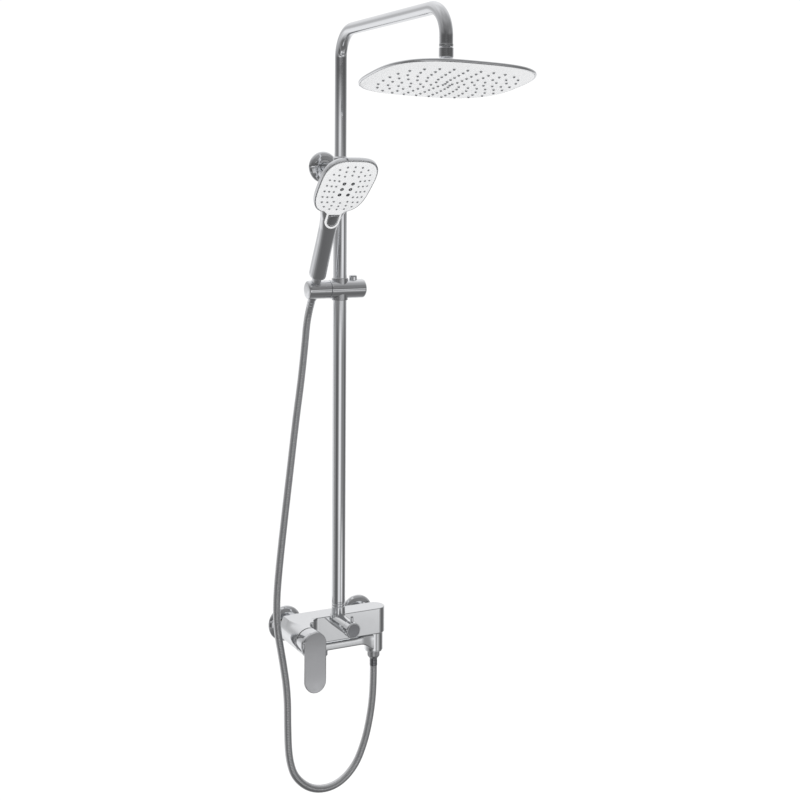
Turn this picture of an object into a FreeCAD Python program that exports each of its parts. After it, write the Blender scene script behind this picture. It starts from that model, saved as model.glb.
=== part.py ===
import FreeCAD, Part
import math
import os
import re
import Sketcher
from FreeCAD import Placement, Rotation
from FreeCAD import Vector as V

# Wall-mounted shower column with a bath mixer, a rain head on a bent arm and a
# hand shower on a slider.  Millimetres.  +Z up, +X right along the wall, +Y into
# the wall.  The origin is on the wall face, midway between the two supply tails.

doc = FreeCAD.newDocument("ShowerColumn")
sheet = doc.addObject("Spreadsheet::Sheet", "Sizes")

SIZES = [
    ("inlet_half", 75.0), ("tail_r", 10.48), ("tail_in", 12.0),
    ("rose_r", 33.0), ("rose_deep", 10.0),
    ("riser_off", 80.0), ("low_r", 12.7), ("up_r", 11.1),
    ("deck_top", 24.5), ("body_low", 24.0), ("body_front", 69.5), ("body_back", 28.5),
    ("end_r", 20.5), ("end_x", 88.7),
    ("barrel_x", 74.5), ("barrel_r", 24.5), ("barrel_front", 112.0),
    ("cart_pivot", 98.5), ("lever_gap", 3.2), ("lever_front", 148.0), ("lever_thick", 7.0),
    ("lever_half", 20.4), ("lever_drop", 62.0), ("lever_rise", 5.0),
    ("div_z", 18.0), ("div_r", 13.5), ("div_front", 131.5), ("knob_r", 14.5), ("knob_front", 148.0),
    ("hub_r", 17.6), ("hub_low", 58.5), ("spout_reach", 110.0), ("spout_half", 14.0),
    ("spout_top", 29.0), ("spout_low", 43.0), ("aer_r", 13.0), ("aer_low", 53.2),
    ("tube_low_z", 54.6), ("tube_top_z", 872.0), ("bracket_z", 864.4), ("plate_r", 30.0),
    ("arm_z", 1117.0), ("arm_reach", 402.0), ("arm_bend", 50.0), ("arm_end_z", 1054.3), ("arm_start_z", 800.0),
    ("ball_z", 1037.5), ("ball_r", 8.0), ("nut_r", 11.8), ("head_tilt", 9.1), ("head_roll", 1.8),
    ("head_half_x", 135.0), ("head_half_y", 111.0), ("rim_low", 43.4), ("rim_high", 39.0), ("face_dome", 5.0),
    ("slider_z", 636.0), ("clamp_r", 17.5), ("holder_r", 17.0), ("socket_x", 52.0), ("lean", 30.0),
    ("face_x", 51.5), ("face_y", 66.5), ("face_lean", 17.0), ("hose_r", 7.0),
]
for i, (alias, value) in enumerate(SIZES):
    sheet.set("A%d" % (i + 1), alias)
    sheet.set("B%d" % (i + 1), str(value))
    sheet.setAlias("B%d" % (i + 1), alias)
doc.recompute()
SIZE = {alias: float(getattr(sheet, alias)) for alias, value in SIZES}

FRONT = Rotation(V(1, 0, 0), 90)      # own axis points into the room, -Y
BACK = Rotation(V(1, 0, 0), -90)      # own axis points into the wall, +Y
RIGHT = Rotation(V(0, 1, 0), 90)      # own axis along +X
LEFT = Rotation(V(0, 1, 0), -90)      # own axis along -X
UP = Rotation()


def num(e):
    """Value of a sum of products of sheet names and numbers."""
    if not isinstance(e, str):
        return float(e)
    total = 0.0
    for term in re.findall(r"[+-]?[^+-]+", e.replace(" ", "")):
        sign = -1.0 if term.startswith("-") else 1.0
        bits = re.split(r"([*/])", term.lstrip("+-"))
        val = SIZE[bits[0]] if bits[0] in SIZE else float(bits[0])
        for op, b in zip(bits[1::2], bits[2::2]):
            x = SIZE[b] if b in SIZE else float(b)
            val = val * x if op == "*" else val / x
        total += sign * val
    return total


def ex(e):
    return re.sub(r"[a-z][a-z_0-9]*", lambda m: "Sizes." + m.group(0), e)


def bind(o, prop, e):
    if isinstance(e, str):
        o.setExpression(prop, ex(e))
    else:
        setattr(o, prop, e)


def put(o, x=0, y=0, z=0, rot=UP):
    o.Placement = Placement(V(num(x), num(y), num(z)), rot)
    for c, e in (("x", x), ("y", y), ("z", z)):
        if isinstance(e, str):
            o.setExpression("Placement.Base." + c, ex(e))
    return o


def cyl(r, h, x=0, y=0, z=0, rot=UP, angle=360):
    o = doc.addObject("Part::Cylinder", "Cyl")
    bind(o, "Radius", r)
    bind(o, "Height", h)
    o.Angle = angle
    return put(o, x, y, z, rot)


def cone(r1, r2, h, x=0, y=0, z=0, rot=UP):
    o = doc.addObject("Part::Cone", "Cone")
    bind(o, "Radius1", r1)
    bind(o, "Radius2", r2)
    bind(o, "Height", h)
    return put(o, x, y, z, rot)


def box(dx, dy, dz, x=0, y=0, z=0, rot=UP):
    o = doc.addObject("Part::Box", "Box")
    bind(o, "Length", dx)
    bind(o, "Width", dy)
    bind(o, "Height", dz)
    return put(o, x, y, z, rot)


def ball(r, x=0, y=0, z=0):
    o = doc.addObject("Part::Sphere", "Ball")
    bind(o, "Radius", r)
    return put(o, x, y, z)


def ring(big, small, x=0, y=0, z=0, rot=UP):
    o = doc.addObject("Part::Torus", "Ring")
    bind(o, "Radius1", big)
    bind(o, "Radius2", small)
    return put(o, x, y, z, rot)


def hexa(af, h, x=0, y=0, z=0, rot=UP):
    o = doc.addObject("Part::Prism", "Hex")
    o.Polygon = 6
    bind(o, "Circumradius", af / math.sqrt(3.0))
    bind(o, "Height", h)
    return put(o, x, y, z, rot)


def fuse(*parts):
    if len(parts) == 1:
        return parts[0]
    o = doc.addObject("Part::MultiFuse", "Fuse")
    o.Shapes = list(parts)
    o.Refine = True
    return o


def cut(base, *tools):
    tool = tools[0] if len(tools) == 1 else fuse(*tools)
    o = doc.addObject("Part::Cut", "Cut")
    o.Base = base
    o.Tool = tool
    o.Refine = True
    return o


def common(a, b):
    o = doc.addObject("Part::Common", "Common")
    o.Base = a
    o.Tool = b
    return o


def feature(shape, pl=None):
    o = doc.addObject("Part::Feature", "Shape")
    o.Shape = shape
    if pl is not None:
        o.Placement = pl
    return o


NODES = {}


def node(name, o, pl=None):
    o.Label = name
    if pl is not None:
        o.Placement = pl
    NODES[name] = o
    return o


def origin_plane(body, role):
    for f in body.Origin.OriginFeatures:
        if f.Role == role:
            return f


def draw(body, role, pts):
    """Closed polygon whose every corner is dimensioned from the origin."""
    sk = body.newObject("Sketcher::SketchObject", "Profile")
    sk.AttachmentSupport = [(origin_plane(body, role), "")]
    sk.MapMode = "FlatFace"
    n = len(pts)
    p = [V(num(a), num(b), 0) for a, b in pts]
    for i in range(n):
        sk.addGeometry(Part.LineSegment(p[i], p[(i + 1) % n]), False)
    for i in range(n):
        sk.addConstraint(Sketcher.Constraint("Coincident", i, 2, (i + 1) % n, 1))
    for i, (a, b) in enumerate(pts):
        for kind, e, axis in (("DistanceX", a, -2), ("DistanceY", b, -1)):
            if abs(num(e)) < 1e-9:
                sk.addConstraint(Sketcher.Constraint("PointOnObject", i, 1, axis))
            else:
                c = sk.addConstraint(Sketcher.Constraint(kind, -1, 1, i, 1, num(e)))
                if isinstance(e, str):
                    sk.setExpression("Constraints[%d]" % c, ex(e))
    return sk


def turned(pts, x=0, y=0, z=0, rot=UP):
    """Turned part: (radius, height) profile revolved about its own axis."""
    body = doc.addObject("PartDesign::Body", "Turned")
    sk = draw(body, "XZ_Plane", pts)
    rev = body.newObject("PartDesign::Revolution", "Revolution")
    rev.Profile = sk
    rev.ReferenceAxis = (sk, ["V_Axis"])
    rev.Angle = 360
    put(body, x, y, z, rot)
    return body


# ---------------------------------------------------------------- supplies
for side, tag in ((-1, "hot"), (1, "cold")):
    sx = "-inlet_half" if side < 0 else "inlet_half"
    # Threaded tail that screws into the wall fitting, with the collar the nut pulls on.
    node("supply_tail_" + tag, turned(
        [(7.5, 0), (13.0, 0), (13.0, 3.0), (10.2, 3.0), (10.2, 20.0), ("tail_r", 20.0), ("tail_r", "tail_in+20"), (7.5, "tail_in+20")],
        sx, -20.0, 0, BACK))
    # Domed wall rose that hides the hole in the tiles.
    node("wall_rose_" + tag, turned(
        [(10.8, 1.0), (10.8, 10.0), (18.0, "rose_deep"), (25.0, 8.6), (30.5, 5.2), ("rose_r", 1.8), ("rose_r", 0),
         ("rose_r-1.6", 0), (24.0, 6.6), (17.5, 8.2), (13.0, 8.2), (13.0, 1.0)], sx, 0, 0, FRONT))
    # Union nut: hexagon outside, bored for the collar.
    nut = cut(common(hexa(31.0, 14.6, sx, -13.4, 0, FRONT), cyl(17.2, 14.6, sx, -13.4, 0, FRONT)),
              fuse(cyl(10.7, 14.6, sx, -13.4, 0, FRONT), cyl(13.25, 11.2, sx, -16.8, 0, FRONT)))
    node("union_nut_" + tag, nut)
node("inlet_washers", fuse(cut(cyl(13.0, 1.5, "-inlet_half", -20.0, 0, FRONT), cyl(8.0, 1.5, "-inlet_half", -20.0, 0, FRONT)),
                           cut(cyl(13.0, 1.5, "inlet_half", -20.0, 0, FRONT), cyl(8.0, 1.5, "inlet_half", -20.0, 0, FRONT))))

# ---------------------------------------------------------------- mixer body
slab = box("barrel_x+end_x", "body_front-body_back", "deck_top+body_low", "-barrel_x", "-body_front", "-body_low")
end = cyl("end_r", "deck_top+body_low", "end_x", "-body_back-end_r", "-body_low")
barrel = cyl("barrel_r", "barrel_front-body_back", "-barrel_x", "-body_back", 0, FRONT)
# The flat deck runs out over the barrel's shoulder and fades into it towards the front.
shoulder = Part.makeLoft([
    Part.makePolygon([V(-74.5, -28.5, 24.5), V(-89.5, -28.5, 24.5), V(-97.6, -28.5, 8.0), V(-74.5, -28.5, 0), V(-74.5, -28.5, 24.5)]),
    Part.makePolygon([V(-74.5, -111.0, 24.3), V(-78.5, -111.0, 24.0), V(-93.0, -111.0, 14.0), V(-74.5, -111.0, 0), V(-74.5, -111.0, 24.3)]),
], True, True)
# Hollow corner between the barrel and the flat front.
web = cut(box(18.0, 16.0, 34.0, -53.0, -84.5, -17.0), cyl(16.0, 34.0, -35.0, -85.5, -17.0))
spigots = [cyl(13.2, 8.0, s, -21.5, 0, FRONT) for s in ("-inlet_half", "inlet_half")]
body = fuse(slab, end, barrel, feature(shoulder), web, *spigots)
hollow = [
    cyl(17.5, 48.0, "-barrel_x", -64.0, 0, FRONT),            # cartridge well
    cyl(20.5, 13.0, "-barrel_x", -99.0, 0, FRONT),            # thread for the cartridge nut
    cyl(22.8, 6.0, "-barrel_x", -106.0, 0, FRONT),            # open mouth behind the lever
    cyl(7.5, 42.6, "-inlet_half", -21.4, 0, FRONT),           # hot way
    cyl(7.5, 14.6, "inlet_half", -21.4, 0, FRONT),            # cold way
    cyl(5.5, 149.0, "-inlet_half+3", -36.0, -12.0, RIGHT),    # cold way to the cartridge
    box(104.0, 22.0, 32.0, -26.0, -63.0, -16.0),              # mixed-water chamber
    cyl(6.0, 34.0, -55.0, -58.0, 6.0, RIGHT),
    cyl(11.0, 9.6, 0, -60.0, "div_z", FRONT),                 # seat of the diverter housing
    cyl(8.0, 26.0, "end_x", "-body_back-end_r", -24.1),       # seat of the outlet post
]
node("mixer_body", cut(body, *hollow))

# Fixed shell of the ceramic cartridge, the nut that holds it, and what turns in it.
node("cartridge_shell", cut(cyl(17.4, 35.0, "-barrel_x", -64.0, 0, FRONT),
                            cyl(12.1, 15.1, "-barrel_x", -84.0, 0, FRONT),
                            cyl(4.0, 6.0, "-barrel_x-7", -63.9, 0, FRONT), cyl(4.0, 6.0, "-barrel_x+7", -63.9, 0, FRONT)))
node("cartridge_nut", cut(cyl(20.4, 6.0, "-barrel_x", -99.0, 0, FRONT), cyl(12.6, 6.0, "-barrel_x", -99.0, 0, FRONT)))
node("ceramic_discs", cut(cyl(11.6, 3.0, "-barrel_x", -84.2, 0, FRONT), cyl(2.5, 3.0, "-barrel_x-5", -84.2, 3.0, FRONT)))
node("cartridge_rotor", cut(cyl(11.9, 15.8, "-barrel_x", -87.8, 0, FRONT),
                            box(8.3, 15.0, 17.0, "-barrel_x-4.15", -103.7, -8.5)))
node("cartridge_stem", box(8.0, 38.5, 8.0, "-barrel_x-4", -129.0, -4.0))

# Lever: round cap that covers the cartridge, and the flat plate that hangs from it.
cap = turned([(0, 0), ("lever_half-0.2", 0), ("barrel_r-0.5", 4.0), ("barrel_r", 6.0),
              ("barrel_r", 25.8), (23.0, 25.8), (23.0, 10.0), (0, 10.0)], "-barrel_x", "-lever_front+lever_thick", 0, BACK)
plate = fuse(cyl("lever_half", "lever_thick", "-barrel_x", "-lever_front+lever_thick", "lever_rise", FRONT),
             cyl("lever_half", "lever_thick", "-barrel_x", "-lever_front+lever_thick", "-lever_drop", FRONT),
             box("lever_half*2", "lever_thick", "lever_drop+lever_rise", "-barrel_x-lever_half", "-lever_front", "-lever_drop"))
boss = cyl(9.0, 14.0, "-barrel_x", -118.0, 0, FRONT)
lever = cut(fuse(cap, plate, boss), box(8.05, 11.1, 8.05, "-barrel_x-4.025", -129.05, -4.025),
            cyl(2.55, 24.0, "-barrel_x", -124.0, -27.0))
node("lever_handle", lever)
node("lever_grub_screw", cyl(2.5, 19.5, "-barrel_x", -124.0, -23.6))

# ---------------------------------------------------------------- diverter
housing = fuse(cyl("div_r", "div_front-body_front", 0, "-body_front", "div_z", FRONT), cyl(10.9, 9.4, 0, -60.2, "div_z", FRONT),
               cyl(12.7, 13.6, 0, "-riser_off", "div_z"))
node("diverter_housing", cut(housing, cyl(9.5, 71.4, 0, -60.2, "div_z", FRONT), cyl(8.6, 14.0, 0, "-riser_off", "div_z")))
node("diverter_cartridge", cut(cyl(9.4, 29.0, 0, -100.0, "div_z", FRONT), cyl(5.05, 25.0, 0, -104.1, "div_z", FRONT)))
node("diverter_spindle", cyl(5.0, 34.0, 0, -106.0, "div_z", FRONT))
knob = turned([(0, 0), ("knob_r-1.4", 0), ("knob_r", 1.4), ("knob_r", 15.6), (5.0, 15.6), (5.0, 8.0), (0, 8.0)],
              0, "-knob_front", "div_z", BACK)
node("diverter_knob", cut(knob, cyl(3.0, 16.0, 0, -139.5, "div_z+7")))
node("diverter_pin", fuse(cyl(2.95, 15.5, 0, -139.5, "div_z+7.5"), ball(2.95, 0, -139.5, "div_z+23")))

# ---------------------------------------------------------------- bath spout and outlets
AX = ("end_x", "-body_back-end_r")
node("outlet_post", cut(fuse(cyl(7.95, 8.0, AX[0], AX[1], -24.0), cyl(12.0, 34.6, AX[0], AX[1], -58.6), cyl("tail_r", 12.4, AX[0], AX[1], -71.0)),
                        cyl(6.0, 58.0, AX[0], AX[1], -71.5)))
hub = cut(cyl("hub_r", "hub_low-24.4", AX[0], AX[1], "-hub_low"), cyl(12.04, 40.0, AX[0], AX[1], "-hub_low-1"))
bar = fuse(box("spout_reach", "spout_half*2", "spout_low-spout_top", "end_x-spout_reach", "-body_back-end_r-spout_half", "-spout_low"),
           cyl("spout_half", "spout_low-spout_top", "end_x-spout_reach", AX[1], "-spout_low"))
ramp = feature(Part.Face(Part.makePolygon([V(46, -63, -29), V(80, -63, -29), V(80, -63, -24.6), V(70, -63, -25.4), V(58, -63, -27.6), V(46, -63, -29)])).extrude(V(0, 28, 0)))
way = [cyl(12.6, 60.0, AX[0], AX[1], "-hub_low-1"), cyl(4.5, 100.0, "end_x-spout_reach", AX[1], -36.0, RIGHT),
       cyl(11.0, 10.0, "end_x-spout_reach", AX[1], "-spout_low-0.5")]
node("bath_spout", fuse(hub, cut(fuse(bar, ramp), *way)))
node("spout_retainer", cut(cyl(16.4, 2.2, AX[0], AX[1], -60.8), cyl(10.55, 3.0, AX[0], AX[1], -61.1)))
node("aerator_housing", cut(cyl("aer_r", "aer_low-spout_low", "end_x-spout_reach", AX[1], "-aer_low"),
                            cyl(9.8, 12.0, "end_x-spout_reach", AX[1], -53.5)))
aer = cyl(9.7, 4.0, "end_x-spout_reach", AX[1], -50.5)
holes = [cyl(1.1, 5.0, -21.3 + r * math.cos(a), -49.0 + r * math.sin(a), -51.0)
         for r, n in ((3.4, 6), (7.0, 12)) for a in [2 * math.pi * k / n for k in range(n)]]
node("aerator_insert", cut(aer, *holes))

# Knurled nut, washer and crimped ferrule of the hose's lower end.
nut = cut(fuse(cyl(11.6, 9.5, AX[0], AX[1], -71.2), cone(8.4, 11.6, 4.0, AX[0], AX[1], -75.2)),
          cyl(10.55, 9.6, AX[0], AX[1], -71.1), cyl(7.3, 10.0, AX[0], AX[1], -76.0))
node("hose_nut_lower", nut)
node("hose_ferrule_lower", cut(cyl(7.2, 17.0, AX[0], AX[1], -90.0), cyl(4.0, 17.0, AX[0], AX[1], -90.0)))

# ---------------------------------------------------------------- riser, bracket and arm
RY = "-riser_off"
node("riser_base_fitting", turned(
    [(8.6, 0), (12.7, 0), (12.7, 15.0), (12.3, 15.6), (12.7, 16.2), (12.7, 19.0), (12.2, 19.6), (12.7, 20.2), (12.7, 23.0),
     (11.4, 23.0), (11.4, 50.0), (8.6, 50.0)], 0, RY, 31.6))
tube = turned([("low_r-1.2", 0), ("low_r", 0), ("low_r", "tube_top_z-tube_low_z"), ("low_r-1.2", "tube_top_z-tube_low_z")], 0, RY, "tube_low_z")
node("lower_riser", tube)
node("riser_top_nut", cut(fuse(cyl(14.6, 8.0, 0, RY, 872.0), cone(14.6, 12.4, 3.0, 0, RY, 880.0)), cyl("up_r+0.05", 12.0, 0, RY, 871.5)))

# One bent tube: up the riser, out over the user, down to the rain head.
zs, ze, za = SIZE["arm_start_z"], SIZE["arm_end_z"], SIZE["arm_z"]
rb, yr = SIZE["arm_bend"], -SIZE["riser_off"]
yo = yr - SIZE["arm_reach"]
k = rb * (1 - math.sqrt(0.5))
path = Part.Wire([
    Part.LineSegment(V(0, yr, zs), V(0, yr, za - rb)).toShape(),
    Part.Arc(V(0, yr, za - rb), V(0, yr - k, za - k), V(0, yr - rb, za)).toShape(),
    Part.LineSegment(V(0, yr - rb, za), V(0, yo + rb, za)).toShape(),
    Part.Arc(V(0, yo + rb, za), V(0, yo + k, za - k), V(0, yo, za - rb)).toShape(),
    Part.LineSegment(V(0, yo, za - rb), V(0, yo, ze)).toShape()])


def pipe(r):
    prof = Part.Wire([Part.Circle(V(0, yr, zs), V(0, 0, 1), r).toShape()])
    return path.makePipeShell([prof], True, False)


node("shower_arm", feature(pipe(SIZE["up_r"]).cut(pipe(SIZE["up_r"] - 1.2))))
AY = "-riser_off-arm_reach"
node("arm_outlet_fitting", turned([(4.5, 0), (7.0, 0), (7.0, 3.0), (11.3, 3.0), (11.3, 8.0), (9.8, 8.0), (9.8, 22.0), (4.5, 22.0)], 0, AY, 1046.3))

# Wall bracket: screwed disc, domed rose, stub and the ring that holds the riser.
node("bracket_base", cut(cyl(22.0, 5.0, 0, 0, "bracket_z", FRONT), cyl(2.5, 6.0, -16.6, 0.5, "bracket_z", FRONT),
                         cyl(2.5, 6.0, 16.6, 0.5, "bracket_z", FRONT)))
node("bracket_screws", fuse(*[fuse(cyl(2.3, 23.6, x, 24.0, "bracket_z", FRONT), cyl(2.4, 6.4, x, 0.4, "bracket_z", FRONT), cone(2.3, 4.4, 2.2, x, -4.9, "bracket_z", FRONT)) for x in (-16.6, 16.6)]))
node("bracket_rose", turned(
    [(9.3, 5.2), (9.3, 10.2), (15.0, 10.2), (22.0, 8.8), (27.4, 5.6), ("plate_r", 2.0), ("plate_r", 0), ("plate_r-1.6", 0),
     (23.2, 5.6), (22.3, 7.4), (12.0, 8.6), (10.9, 5.2)], 0, 0, "bracket_z", FRONT))
node("bracket_arm", cut(fuse(cyl(9.0, 60.0, 0, -5.0, "bracket_z", FRONT), cyl(16.2, 21.5, 0, RY, "bracket_z-14")),
                        cyl("low_r+0.02", 30.0, 0, RY, "bracket_z-18"), cyl(2.05, 20.0, 0, -92.0, "bracket_z-3", FRONT)))
node("bracket_grub_screw", cyl(2.0, 3.6, 0, -92.8, "bracket_z-3", FRONT))

# ---------------------------------------------------------------- slider on the riser
SZ = "slider_z"
node("slider_bush", turned([("low_r+0.05", 0), (15.0, 0), (15.0, 41.0), ("low_r+0.05", 41.0)], 0, RY, "slider_z-20.5"))
clamp = turned([(0, 0), ("clamp_r-1.5", 0), ("clamp_r", 1.5), ("clamp_r", 67.0), ("clamp_r-3.5", 71.0), (0, 71.0)], -22.0, RY, SZ, RIGHT)
clamp2 = fuse(clamp, cyl(9.0, 12.0, -22.0, RY, SZ, LEFT))
node("slider_clamp", cut(clamp2, cyl(15.06, 50.0, 0, RY, "slider_z-25"), cyl(7.6, 30.0, 27.0, RY, "slider_z-2"),
                         cyl(5.5, 14.0, 27.0, RY, "slider_z-12"), cyl(2.5, 14.1, -20.0, RY, SZ, LEFT)))
node("slider_lock_spring", cut(cyl(4.9, 22.6, 27.0, RY, "slider_z-11.8"), cyl(3.9, 22.8, 27.0, RY, "slider_z-11.9")))
node("slider_lock_button", cut(turned([(0, 0), (7.5, 0), (7.5, 19.5), (6.6, 21.4), (4.5, 22.4), (0, 22.8)], 27.0, RY, "slider_z+3"),
                               cyl(5.4, 8.0, 27.0, RY, "slider_z+2.9")))

# Handset holder: tapered socket leaning forward, open at the rear for the hose.
LEAN = Rotation(V(1, 0, 0), SIZE["lean"])
HAND = Placement(V(-SIZE["socket_x"], -SIZE["riser_off"], SIZE["slider_z"]), LEAN)
shell = turned([(0, 0), ("holder_r-0.6", 0), ("holder_r", 0.6), ("holder_r", 42.2), ("holder_r-2.4", 45.6), (0, 45.6)], -22.4, RY, SZ, LEFT)
socket = feature(Part.makeCone(8.30, 10.62, 58.0, V(0, 0, -29.0)), HAND)
slot = feature(Part.makeBox(15.4, 30.0, 70.0, V(-7.7, 0, -35.0)), HAND)
node("handset_holder", cut(shell, socket, slot, cyl(9.06, 12.4, -22.0, RY, SZ, LEFT), cyl(6.2, 4.2, -34.0, RY, SZ, LEFT)))
node("holder_pivot_screw", fuse(cyl(2.45, 14.0, -20.2, RY, SZ, LEFT), cyl(5.9, 2.6, -34.05, RY, SZ, LEFT)))


# ---------------------------------------------------------------- hand shower (own frame: +Z up the handle)
def oval(a, b, m, z=0.0, x0=0.0, y0=0.0, taper=0.0, n=40):
    """Closed smooth curve of a rounded-rectangle outline, in the plane z."""
    pts = []
    for i in range(n):
        t = 2 * math.pi * (i + 0.5) / n
        c, s = math.cos(t), math.sin(t)
        y = b * math.copysign(abs(s) ** (2.0 / m), s)
        x = a * math.copysign(abs(c) ** (2.0 / m), c) * (1 + taper * y / b)
        pts.append(V(x0 + x, y0 + y, z))
    c = Part.BSplineCurve()
    c.interpolate(Points=pts, PeriodicFlag=True)
    return Part.Wire([c.toShape()])


def stack(rows, ruled=False):
    return Part.makeLoft([oval(*r) for r in rows], True, ruled)


grip = stack([(12.6, 12.4, 2.1, 29.0, 0, 0.5), (14.8, 14.3, 2.2, 36.0, 0, 2.0), (16.2, 15.2, 2.3, 66.0, 0, 4.0),
              (16.6, 14.6, 2.4, 100.0, 0, 5.5), (17.4, 13.0, 2.6, 135.0, 0, 6.5), (21.0, 11.0, 2.8, 158.0, 0, 5.0),
              (27.0, 9.0, 3.0, 178.0, 0, 0.5)])
fx, fy = SIZE["face_x"], SIZE["face_y"]
HEAD = Placement(V(0, -22.5, 231.5), Rotation(V(1, 0, 0), 90.0 + SIZE["face_lean"]))
FM, TP = 3.2, 0.055
pan = Part.makeLoft([oval(fx, fy, FM, 0.0, 0, 0, TP), oval(fx, fy, FM, -7.0, 0, 0, TP)], True, True)
back = stack([(fx, fy, FM, -7.0, 0, 0, TP), (fx - 3.0, fy - 3.0, 3.0, -12.0, 0, 0, TP), (fx - 12.0, fy - 12.0, 2.8, -17.5, 0, 0, TP),
              (fx - 26.0, fy - 26.0, 2.5, -20.5, 0, 0, TP)])
pan.Placement = HEAD
back.Placement = HEAD
inner = Part.makeLoft([oval(fx - 2.2, fy - 2.2, FM, 9.0, 0, 0, TP), oval(fx - 2.2, fy - 2.2, FM, -7.0, 0, 0, TP),
                       oval(fx - 5.5, fy - 5.5, 3.0, -10.5, 0, 0, TP), oval(fx - 14.0, fy - 14.0, 2.8, -15.2, 0, 0, TP),
                       oval(fx - 27.0, fy - 27.0, 2.5, -18.0, 0, 0, TP)], True, True)
inner.Placement = HEAD
neck = Part.makeCylinder(8.7, 14.0, V(0, 0, 17.2)).fuse(Part.makeCylinder(6.9, 10.0, V(0, 0, 8.0)))
grip_body = grip.fuse([neck, pan, back]).cut(inner)
bore = Part.makeCylinder(4.4, 16.0, V(0, 0, 7.0)).fuse(Part.makeCylinder(5.5, 137.0, V(0, 2.0, 20.0), V(0, 0.02, 1))).fuse(
    stack([(11.6, 10.8, 2.2, 40.0, 0, 2.3), (13.2, 12.2, 2.3, 66.0, 0, 4.0), (13.6, 11.6, 2.4, 100.0, 0, 5.5), (14.2, 10.2, 2.6, 132.0, 0, 6.4)]))
pocket = Part.makeLoft([oval(10.2, 11.9, 2.6, -9.0), oval(10.2, 11.9, 2.6, 4.0)], True, True)
BUTTON = Placement(V(0, -3.8, 153.6), Rotation(V(1, 0, 0), 90.0 + 8.0))
pocket.Placement = BUTTON
shell = grip_body.cut(bore).cut(pocket)
node("handset_shell", feature(shell.removeSplitter(), HAND))
PLATE = HAND.multiply(HEAD)

def ring_points(a, b, m, n, phase=0.5, taper=0.0):
    """n points equally spaced along a rounded-rectangle outline."""
    w = oval(a, b, m, 0, 0, 0, taper, 80)
    e = w.Edges[0]
    return [e.valueAt(e.getParameterByLength(e.Length * ((i + phase) % n) / n)) for i in range(n)]


def studs(points, r1, r2, z, h):
    out = []
    for p in points:
        out.append(Part.makeCone(r1, r2, h, V(p.x, p.y, z)))
    return Part.makeCompound(out)


hand_studs = []
for a, b, n, z in ((38.5, 54.0, 22, 2.2), (30.0, 44.5, 18, 3.2), (21.5, 35.0, 14, 4.0)):
    hand_studs += studs(ring_points(a, b, 3.0, n), 1.35, 0.95, z, 1.6).Solids
node("handset_nozzles", feature(Part.makeCompound(hand_studs), PLATE))
crown = Part.makeLoft([oval(fx - 5.0, fy - 5.0, FM, 1.4, 0, 0, TP), oval(fx - 17.0, fy - 17.0, FM, 3.4, 0, 0, TP), oval(fx - 33.0, fy - 33.0, 2.8, 4.6, 0, 0, TP)], True, True)
face = Part.makeLoft([oval(fx - 2.3, fy - 2.3, FM, -3.0, 0, 0, TP), oval(fx - 2.3, fy - 2.3, FM, 0.0, 0, 0, TP),
                      oval(fx - 5.0, fy - 5.0, FM, 1.4, 0, 0, TP)], True, True).fuse(crown)
node("handset_face", feature(face.removeSplitter().cut(Part.makeCompound(hand_studs)), PLATE))
node("handset_water_chamber", feature(Part.makeLoft([oval(fx - 8.0, fy - 8.0, 3.0, -3.1), oval(fx - 17.0, fy - 17.0, 2.8, -12.0)], True, True).cut(
    Part.makeLoft([oval(fx - 11.0, fy - 11.0, 3.0, -3.1), oval(fx - 20.0, fy - 20.0, 2.8, -10.0)], True, True)), PLATE))


jets = [V(x, y, 0) for x in (-8.0, 8.0) for y in (-14.0, 0.0, 14.0)]
node("handset_jets", feature(studs(jets, 2.6, 2.2, 4.6, 1.0), PLATE))
node("handset_button", feature(stack([(9.9, 11.6, 2.6, -3.5), (9.9, 11.6, 2.6, 2.0), (8.9, 10.6, 2.6, 3.4)], True), HAND.multiply(BUTTON)))
node("handset_water_tube", feature(Part.makeCylinder(5.4, 113.0, V(0, 2.0, 20.3), V(0, 0.02, 1)).cut(Part.makeCylinder(4.2, 113.0, V(0, 2.0, 20.3), V(0, 0.02, 1))), HAND))
cone_nut = Part.makeCone(8.60, 10.0, 35.0, V(0, 0, -20.0)).fuse(Part.makeCylinder(10.0, 2.0, V(0, 0, 15.0)))
cone_nut = cone_nut.cut(Part.makeCylinder(7.0, 20.0, V(0, 0, 7.2))).cut(Part.makeCylinder(5.0, 40.0, V(0, 0, -21.0)))
node("hose_cone_nut", feature(cone_nut.removeSplitter(), HAND))
node("hose_ferrule_upper", feature(Part.makeCylinder(7.3, 18.0, V(0, 0, -38.0)).cut(Part.makeCylinder(4.0, 18.0, V(0, 0, -38.0))), HAND))

# ---------------------------------------------------------------- rain head (own frame: origin at the ball, -Z down)
BALL = Placement(V(0, -SIZE["riser_off"] - SIZE["arm_reach"], SIZE["ball_z"]), Rotation())
TILT = Placement(BALL.Base, Rotation(V(1, 0, 0), -SIZE["head_tilt"]).multiply(Rotation(V(0, 1, 0), SIZE["head_roll"])))
nut = Part.makeCylinder(SIZE["nut_r"], 15.2, V(0, 0, -4.5)).fuse(Part.makeCone(10.2, SIZE["nut_r"], 2.5, V(0, 0, -7.0)))
nut = nut.cut(Part.makeSphere(SIZE["ball_r"] + 0.1)).cut(Part.makeCylinder(7.06, 9.0, V(0, 0, 5.0))).cut(Part.makeCylinder(7.1, 6.0, V(0, 0, -8.0)))
node("ball_joint_nut", feature(nut.removeSplitter(), BALL))
stem = Part.makeSphere(SIZE["ball_r"]).fuse(Part.makeCylinder(4.6, 12.0, V(0, 0, -16.0))).fuse(Part.makeCylinder(7.9, 8.0, V(0, 0, -22.0)))
stem = stem.cut(Part.makeCylinder(3.2, 40.0, V(0, 0, -30.0)))
node("head_ball_stem", feature(stem.removeSplitter(), TILT))
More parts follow.
